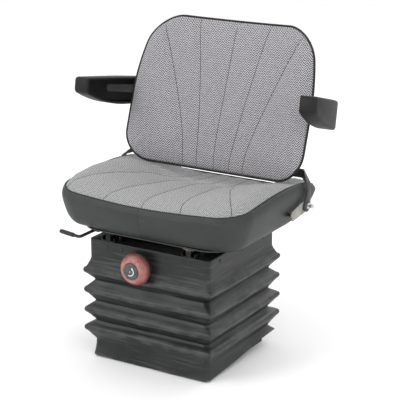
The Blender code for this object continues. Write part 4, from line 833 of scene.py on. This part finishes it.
def make_cushion(name, node, mesh, body_name, material, lines, flatten, into, edge, groove):
    """A padded cover, blown up between its sewn lines and then drawn in along them."""
    data = bpy.data.meshes.new(name)
    mesh.to_mesh(data)
    mesh.free()
    item = bpy.data.objects.new(name, data)
    bpy.context.collection.objects.link(item)
    distances = sewn_distances([flatten(vertex.co) for vertex in data.vertices], lines)
    outward = np.array([vertex.normal.dot(into) < -0.25 for vertex in data.vertices])
    distances = np.where(outward, distances, 1.0)
    held = [1.0 if edge(vertex.co) or sewn < HELD_BESIDE_SEAM else 0.0
            for vertex, sewn in zip(data.vertices, distances)]
    inflate(item, held)
    for vertex, sewn in zip(item.data.vertices, distances):
        drawn_in = exp(-(sewn / GROOVE_NARROW) ** 2) * 0.7 + exp(-(sewn / GROOVE_WIDE) ** 2) * 0.3
        vertex.co += into * (groove * drawn_in)
        if not edge(vertex.co):
            dent = wobble(vertex.co, 0.085, 5.5) * COVER_WAVE + wobble(vertex.co, 0.030, 2.2) * COVER_RIPPLE
            vertex.co -= into * dent
    divide = item.modifiers.new("Subdivision", "SUBSURF")
    divide.levels = 1
    divide.render_levels = 1
    applied(item)
    item.data.shade_smooth()
    item.data.materials.clear()
    item.data.materials.append(MATERIALS[material])
    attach(item, body_name)
    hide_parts(node)
    return item


def lay_seams(name, item, lines, lift, into, body_name):
    """Thin dark seam along each sewn line, laid on the cover."""
    surface = BVHTree.FromPolygons([v.co for v in item.data.vertices],
                                   [p.vertices for p in item.data.polygons])
    mesh = bmesh.new()
    for line in lines:
        run = []
        for a, b in zip(line, line[1:]):
            for k in range(3):
                start = lift(a + (b - a) * k / 3)
                place, normal, _, _ = surface.ray_cast(start, into)
                if place is not None and normal.dot(into) < -0.35:
                    run.append(place)
        if len(run) > 3:
            smoothed = [(p + q * 2 + r) / 4 for p, q, r in zip(run, run[1:], run[2:])]
            smoothed = [run[0]] + smoothed + [run[-1]]
            tube(smoothed, SEAM_RADIUS, 6, mesh=mesh, normals=[-into] * len(smoothed), flat=0.6)
    place_piece(name, mesh, "piping", body_name)


def top_height(x, y, inset, edge):
    """Height of the fabric: rolled edge, raised sides and a middle that dips towards the back."""
    rear = eased(y, 0.02, 0.12)
    side = eased(abs(x), 0.05 + 0.04 * rear, 0.22 - 0.01 * rear)
    full = along_line(SIDE_LINE, y) * side + along_line(MIDDLE_LINE, y) * (1 - side)
    full += REAR_CROWN * eased(y, 0.13, 0.23) * max(0.0, 1 - (x / REAR_CROWN_HALF) ** 2)
    return edge + (full - edge) * sin(min(max(inset, 0.0) / ROLL_WIDTH, 1.0) * pi / 2)


def make_seat():
    """Seat's cover from under the boxing's edge to its middle, and its fanned seams."""
    down = Vector((0, 0, -1))
    lines = both_sides(SEAT_SEAMS)
    rings = []
    for inset, drop in COVER_FOOT:
        rings.append([Vector((x, y, seam - drop)) for (x, y), seam in zip(seat_outline(inset), rim_seams)])
    for step in COVER_ROLL:
        flat = seat_outline(COVER_RIM + step)
        rings.append([Vector((x, y, top_height(x, y, step, seam)))
                      for (x, y), seam in zip(flat, rim_seams)])
    mesh = quilted(rings, flat, lambda x, y: Vector((x, y, top_height(x, y, ROLL_WIDTH, 0.0))))

    def fixed(co):
        return co.z < seam_height(co.x, co.y) + 0.003

    item = make_cushion("seat_cover", "seat_cushion", mesh, "carriage", "seat", lines, lambda co: co.xy,
                        down, fixed, SEAT_GROOVE)
    lay_seams("seat_seams", item, lines, lambda p: Vector((p.x, p.y, 0.6)), down, "carriage")


def back_flat(co):
    """Across, and up the slope."""
    return Vector((co.x, (co - BACK_FOOT).dot(BACK_UP)))


def make_back():
    """Backrest's cover from behind its piping to its middle, and its fanned seams."""
    lines = both_sides(BACK_SEAMS)
    rings = []
    for inset, height in BACK_COVER:
        flat = back_outline(inset)
        rings.append([back_point(x, v, height) for x, v in flat])
    mesh = quilted(rings, flat, lambda x, v: back_point(x, v, BACK_CROWN))

    def fixed(co):
        return (co - BACK_FOOT).dot(BACK_OUT) - wrap(co.x) < 0.0050

    item = make_cushion("back_cover", "backrest_cushion", mesh, "backrest", "back", lines, back_flat,
                        -BACK_OUT, fixed, BACK_GROOVE)
    lay_seams("back_seams", item, lines,
              lambda p: Vector((p.x, 0, 0)) + BACK_FOOT + BACK_UP * p.y + BACK_OUT * 0.2, -BACK_OUT,
              "backrest")


# Backrest shell and piping

def wrap(x):
    """How far the backrest's sides stand forward."""
    return BACK_WRAP * (abs(x) / BACK_HALF_WIDTH) ** 2.2


def back_half_width(v):
    """Half width at a place up the slope; it narrows above its widest place."""
    return BACK_HALF_WIDTH - BACK_TAPER * max(v - BACK_WIDEST, 0) ** 2


def back_outline(inset):
    """Backrest's edge as (across, up the slope)."""
    points = plan(BACK_HALF_WIDTH, BACK_LOW, BACK_HEIGHT, BACK_CORNER_FOOT, BACK_CORNER_TOP, inset)
    return [(x * back_half_width(v) / BACK_HALF_WIDTH, v) for x, v in points]


def back_point(x, v, w):
    """Place across, up the slope and out of the backrest."""
    return Vector((x, 0, 0)) + BACK_FOOT + BACK_UP * v + BACK_OUT * (w + wrap(x))


def shell_depth(x):
    """Depth of the shell, least at the sides."""
    return SHELL_EDGE + SHELL_BULGE * (1 - (x / BACK_HALF_WIDTH) ** 2)


def foot_taper(v):
    """Share of the depth that is left towards the foot."""
    return 0.35 + 0.65 * eased(v, 0.0, 0.075)


def make_shell():
    """One moulding with a rolled rim, its inside left plain."""
    rim = PIPING_RADIUS * sin(pi / 3) + 0.0003
    curve = [(0.0010, 0.0)] + [tuple(point) for point in spline(SHELL_SHAPE, 3)]
    curve += [(0.180, 1.0), (0.190, 1.0)]
    outer, inner = [], []
    for inset, share in curve:
        share = min(share, 1.0)
        for rings, step, lift in ((outer, 0, 0), (inner, SHELL_WALL, SHELL_WALL if share else 0)):
            rings.append([back_point(x, v, lift - rim - (shell_depth(x) - rim) * share * foot_taper(v))
                          for x, v in back_outline(inset + step)])
    mesh = lofted(list(reversed(inner)) + outer)
    place_piece("back_shell", mesh, "shell", "backrest", ("backrest_shell",))


def make_piping():
    """Cord round the backrest between fabric and shell."""
    path = [back_point(x, v, 0.0) for x, v in back_outline(0.0)]
    mesh = tube(path, PIPING_RADIUS, 12, loop=True, normals=[BACK_OUT] * len(path))
    place_piece("back_piping", mesh, "piping", "backrest", ("backrest_piping",))


# Bellows

def bellows_profile():
    """Outside of the folds from the top panel's edge to the foot: (out, z, share of a fold)."""
    points = [(PANEL_OUT, BELLOWS_TOP - 0.0020, 0.0), (PANEL_OUT, 0.300, 0.0), (PANEL_OUT, 0.283, 0.0),
              (PANEL_OUT, TOP_PANEL_FOOT, 0.0), (0.0080, 0.254, 0.1), (0.0115, 0.245, 0.3)]
    for ridge, valley in zip(RIDGE_HEIGHTS, VALLEY_HEIGHTS + (None,)):
        points += [(FOLD_DEPTH * out, ridge + step, share) for out, step, share in FOLD_ABOVE]
        points += [(FOLD_DEPTH, ridge + FOLD_EDGE, 1.0), (FOLD_DEPTH, ridge - FOLD_EDGE, 1.0)]
        points += [(FOLD_DEPTH * out, ridge + step, share) for out, step, share in FOLD_BELOW]
        if valley:
            points += [(0.0030, valley + 0.0050, 0.0), (0.0004, valley, 0.0),
                       (0.0030, valley - 0.0050, 0.0)]
    points += [(0.0035, SKIRT_TOP + 0.006, 0.1), (0.0005, SKIRT_TOP, 0.0), (0.0010, 0.032, 0.0),
               (0.0022, 0.017, 0.1), (SKIRT_FLARE, FLOOR_CLEARANCE + 0.001, 0.6)]
    return points


def curled(x, y, z):
    """The skirt's rear left corner, curled up and out."""
    droop = 1 - min(z / SKIRT_TOP, 1.0)
    share = eased(y, -0.17, 0.16) * eased(x, 0.00, 0.15) * droop
    return Vector((x + SKIRT_CURL * share, y + SKIRT_CURL * share * 0.4, z + SKIRT_LIFT * share))


def bellows_ring(out, z, fold):
    """A level ring: sharp corners on the folds, soft ones in the valleys, sagging between."""
    radius = 0.0150 - max(out, -BELLOWS_WALL) * 0.55
    half_y = BELLOWS_DEPTH / 2
    free = 1.0 - eased(z, 0.235, 0.265)
    ring = []
    outline = plan(BELLOWS_WIDTH / 2 + out, -half_y - out, half_y + out, radius, radius, 0.0, 0.0, 7, 26)
    for x, y in outline:
        sag = RUBBER_SAG * fold * cos(pi * min(abs(x), abs(y)) / 0.19)
        push = wobble((x, y, z * 2), 0.060, 1.3) * RUBBER_WAVE
        push = (push + wobble((x, y, z), 0.022, 6.2) * RUBBER_RIPPLE) * free
        rise = (wobble((x, y, z), 0.070, 9.1) * RUBBER_RISE - sag) * free
        if z < 0.03:
            rise = max(rise, 0.0)
        scale = 1 + push / max(abs(x), abs(y), 0.05)
        ring.append(curled(x * scale, y * scale, z + rise))
    return ring


def make_bellows():
    """Rubber box from its inner lip over the folds to the skirt, and back up its inside."""
    profile = bellows_profile()
    fine = []
    for (a, b, c), (d, e, f) in zip(profile, profile[1:]):
        fine += [(a, b, c), ((a + d) / 2, (b + e) / 2, (c + f) / 2)]
    fine.append(profile[-1])
    outer = [bellows_ring(out, z, fold) for out, z, fold in fine]
    inner = [bellows_ring(out - BELLOWS_WALL * 0.9, z, fold) for out, z, fold in fine]
    lip = -BELLOWS_LIP
    top = [bellows_ring(lip, BELLOWS_TOP, 0), bellows_ring(PANEL_OUT - 0.0020, BELLOWS_TOP, 0),
           bellows_ring(PANEL_OUT - 0.0006, BELLOWS_TOP - 0.0006, 0)]
    under = [bellows_ring(PANEL_OUT - BELLOWS_WALL, FRAME_TOP, 0), bellows_ring(lip, FRAME_TOP, 0)]
    rings = top + outer + list(reversed(inner)) + under
    folds = [0.15] * 3 + [f for _, _, f in fine] + [0.0] * (len(fine) + 2)
    mesh = lofted(rings, closed=True)
    # The fold share also makes the ridges paler in colour: dust, rubbing and a painted highlight.
    layer = mesh.verts.layers.float.new("fold")
    mesh.verts.ensure_lookup_table()
    size = len(rings[0])
    for index, vertex in enumerate(mesh.verts):
        vertex[layer] = folds[index // size]
    item = place_piece("bellows_skin", mesh, "rubber", "top_frame", ("bellows",))
    cut_round(item, COLLAR_RADIUS + 0.0006)
    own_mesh(item)


def cut_round(item, radius):
    """Open the front panel for the knob's collar."""
    mesh = bmesh.new()
    rings = turned(((radius, -0.19), (radius, -0.13)), 48)
    lofted(rings, mesh=mesh)
    bmesh.ops.recalc_face_normals(mesh, faces=mesh.faces)
    data = bpy.data.meshes.new("collar_cutter")
    mesh.to_mesh(data)
    mesh.free()
    cutter = bpy.data.objects.new("collar_cutter", data)
    bpy.context.collection.objects.link(cutter)
    change = item.modifiers.new("Opening", "BOOLEAN")
    change.operation = "DIFFERENCE"
    change.object = cutter
    change.solver = "EXACT"
    material = item.data.materials[0]
    applied(item)
    item.data.materials.clear()
    item.data.materials.append(material)
    bpy.data.objects.remove(cutter, do_unlink=True)
    item.data.set_sharp_from_angle(angle=radians(50))


def stud(mesh, place, axis, radius, height, sides=16):
    """A domed head that stands on a surface, for rivets and small screws."""
    side = axis.orthogonal().normalized()
    rise = axis.cross(side)
    rings = []
    for r, h in ((radius, -0.0012), (radius, height * 0.25), (radius * 0.86, height * 0.7),
                 (radius * 0.5, height * 0.95), (radius * 0.16, height)):
        rings.append([place + axis * h + side * (r * cos(2 * pi * k / sides))
                      + rise * (r * sin(2 * pi * k / sides)) for k in range(sides)])
    lofted(rings, mesh=mesh)


def make_rivets():
    """Plastic rivets that hold the bellows' top edge to the frame, on all four sides."""
    mesh = bmesh.new()
    half_x, half_y = BELLOWS_WIDTH / 2 + PANEL_OUT, BELLOWS_DEPTH / 2 + PANEL_OUT
    for x in RIVETS_ACROSS:
        for way in (-1, 1):
            stud(mesh, Vector((x, way * half_y, RIVET_Z)), Vector((0, way, 0)), RIVET_RADIUS, RIVET_HEIGHT)
    for y in RIVETS_ALONG:
        for way in (1, -1):
            stud(mesh, Vector((way * half_x, y, RIVET_Z)), Vector((way, 0, 0)), RIVET_RADIUS, RIVET_HEIGHT)
    place_piece("bellows_rivets", mesh, "collar", "top_frame", smooth_angle=50)


# Knob

def make_knob():
    """Collar on the frame, and the grip and cap that turn on it."""
    collar = ((COLLAR_RADIUS, COLLAR_REAR), (COLLAR_RADIUS, COLLAR_FRONT + 0.0035),
              (COLLAR_RADIUS - 0.0006, COLLAR_FRONT + 0.0016),
              (COLLAR_RADIUS - 0.0018, COLLAR_FRONT + 0.0004), (COLLAR_RADIUS - 0.0030, COLLAR_FRONT),
              (KNOB_BORE, COLLAR_FRONT), (KNOB_BORE, COLLAR_REAR))
    place_piece("knob_collar_fine", lofted(turned(collar), closed=True), "collar", "top_frame",
                ("knob_collar",), 35)
    curve = spline(GRIP_CURVE, 4)
    grip = [(KNOB_BORE, KNOB_REAR)] + [(p.x, p.y) for p in curve]
    grip += [(KNOB_CAP_RADIUS + CAP_GAP, KNOB_NOSE + 0.0008), (KNOB_CAP_RADIUS + CAP_GAP, KNOB_NOSE + 0.0040),
             (0.0120, KNOB_NOSE + 0.0040), (0.0120, KNOB_NOSE + 0.0120), (KNOB_BORE, KNOB_NOSE + 0.0120)]
    place_piece("knob_ring", lofted(turned(grip), closed=True), "red", "weight_knob",
                ("knob_grip",), 40)
    foot = KNOB_NOSE + 0.0037
    cap = ((KNOB_CAP_RADIUS, foot), (KNOB_CAP_RADIUS, KNOB_NOSE - 0.0010),
           (KNOB_CAP_RADIUS - 0.0006, KNOB_NOSE - 0.0022), (KNOB_CAP_RADIUS - 0.0020, KNOB_NOSE - 0.0030),
           (KNOB_CAP_RADIUS - 0.0050, KNOB_NOSE - 0.0033), (KNOB_CAP_RADIUS * 0.4, KNOB_NOSE - 0.0036),
           (0.0006, KNOB_NOSE - 0.0036))
    place_piece("knob_cap_fine", lofted(turned(cap)), "cap", "weight_knob", ("knob_cap",), 40)


# Pieces whose solids are right, with softened edges

# Node, finish, body, and the rounding's width and steps
SOFTENED = (
    ("armrest_pad_left", "armrest", "armrest_left", 0.0050, 5),
    ("armrest_pad_right", "armrest", "armrest_right", 0.0050, 5),
    ("recliner_bracket_left", "zinc", "carriage", 0.0005, 2),
    ("recliner_bracket_right", "zinc", "carriage", 0.0005, 2),
    ("hinge_arm_left", "arm", "backrest", 0.0007, 2),
    ("hinge_arm_right", "arm", "backrest", 0.0007, 2),
    ("recline_lever", "zinc", "recline_lever", 0.0006, 2),
    ("armrest_bracket_left", "arm", "backrest", 0.0007, 2),
    ("armrest_bracket_right", "arm", "backrest", 0.0007, 2),
)

# Start of a node's name, and its finish
PAINT = {
    "armrest_bar": "lever", "armrest_bolt": "bright", "recline_bolt": "bright", "slide_lever": "lever",
    "seat_pan": "frame", "moving_rail": "rail", "fixed_rail": "rail", "base_plate": "frame",
    "lower_track": "frame", "upper_track": "frame", "top_frame": "frame", "damper_tube": "frame",
    "damper_rod": "bright", "lower_pivot_shaft": "bright", "upper_pivot_shaft": "bright",
    "outer_arm": "arm", "inner_arm": "arm", "centre_pin": "bright", "upper_axle": "bright",
    "lower_axle": "bright", "upper_roller": "nylon", "lower_roller": "nylon",
    "tension_spring": "bright", "adjusting_spindle": "bright", "spring_crosshead": "arm",
}


def soften(node, material, body_name, width, segments):
    """A copy of a solid with rounded edges in place of its sharp ones."""
    source = nodes[node]
    item = bpy.data.objects.new(node + "_fine", source.data.copy())
    bpy.context.collection.objects.link(item)
    join = item.modifiers.new("Weld", "WELD")
    join.merge_threshold = 0.00002
    flat = item.modifiers.new("Flat", "DECIMATE")
    flat.decimate_type = "DISSOLVE"
    flat.angle_limit = radians(1.0)
    edge = item.modifiers.new("Bevel", "BEVEL")
    edge.width = width
    edge.segments = segments
    edge.limit_method = "ANGLE"
    edge.angle_limit = radians(35)
    edge.harden_normals = True
    applied(item)
    item.data.shade_smooth()
    item.data.set_sharp_from_angle(angle=radians(40))
    item.data.materials.clear()
    item.data.materials.append(MATERIALS[material])
    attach(item, body_name)
    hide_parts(node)


def paint_nodes():
    """Give every solid that stays in view its own finish."""
    for name, item in nodes.items():
        for stem, material in PAINT.items():
            if name.startswith(stem):
                item.data.materials.clear()
                item.data.materials.append(MATERIALS[material])


# Light, floor and camera

def make_studio():
    """Pale floor, three soft lamps, and a white background that lights evenly."""
    mesh = bpy.data.meshes.new("floor")
    corners = [(x * FLOOR_HALF, y * FLOOR_HALF, 0) for x, y in ((-1, -1), (1, -1), (1, 1), (-1, 1))]
    mesh.from_pydata(corners, [], [(0, 1, 2, 3)])
    floor = bpy.data.objects.new("floor", mesh)
    bpy.context.collection.objects.link(floor)
    floor.location.z = -FLOOR_DROP
    mesh.materials.append(MATERIALS["floor"])

    for name, place, energy, width in LAMPS:
        lamp = bpy.data.lights.new(name, "AREA")
        lamp.energy = energy
        lamp.size = width
        item = bpy.data.objects.new(name, lamp)
        bpy.context.collection.objects.link(item)
        item.location = place
        aim = LAMP_TARGET - item.location
        item.rotation_euler = aim.to_track_quat("-Z", "Y").to_euler()

    world = bpy.data.worlds.new("studio")
    bpy.context.scene.world = world
    world.use_nodes = True
    tree = world.node_tree
    tree.nodes.clear()
    soft = tree.nodes.new("ShaderNodeBackground")
    soft.inputs["Color"].default_value = (1.0, 1.0, 1.0, 1.0)
    soft.inputs["Strength"].default_value = SOFT_LIGHT
    white = tree.nodes.new("ShaderNodeBackground")
    white.inputs["Color"].default_value = (1.0, 1.0, 1.0, 1.0)
    white.inputs["Strength"].default_value = 1.0
    ray = tree.nodes.new("ShaderNodeLightPath")
    mix = tree.nodes.new("ShaderNodeMixShader")
    out = tree.nodes.new("ShaderNodeOutputWorld")
    tree.links.new(ray.outputs["Is Camera Ray"], mix.inputs[0])
    tree.links.new(soft.outputs[0], mix.inputs[1])
    tree.links.new(white.outputs[0], mix.inputs[2])
    tree.links.new(mix.outputs[0], out.inputs["Surface"])


def make_camera():
    """The photo's view of the seat."""
    lens = bpy.data.cameras.new("camera")
    lens.lens = CAMERA_LENS
    lens.sensor_width = 36.0
    lens.clip_end = 50.0
    item = bpy.data.objects.new("camera", lens)
    bpy.context.collection.objects.link(item)
    level = cos(CAMERA_ELEVATION)
    away = Vector((level * sin(CAMERA_AZIMUTH), -level * cos(CAMERA_AZIMUTH), sin(CAMERA_ELEVATION)))
    item.location = CAMERA_TARGET + away * CAMERA_DISTANCE
    item.rotation_euler = (-away).to_track_quat("-Z", "Y").to_euler()
    bpy.context.scene.camera = item
    bpy.context.scene.view_settings.view_transform = "Standard"


make_camera()
make_studio()
paint_nodes()
boxing = make_boxing()
boxing_stitches(boxing)
make_seat()
make_back()
make_shell()
make_piping()
make_bellows()
make_rivets()
make_knob()
for row in SOFTENED:
    soften(*row)
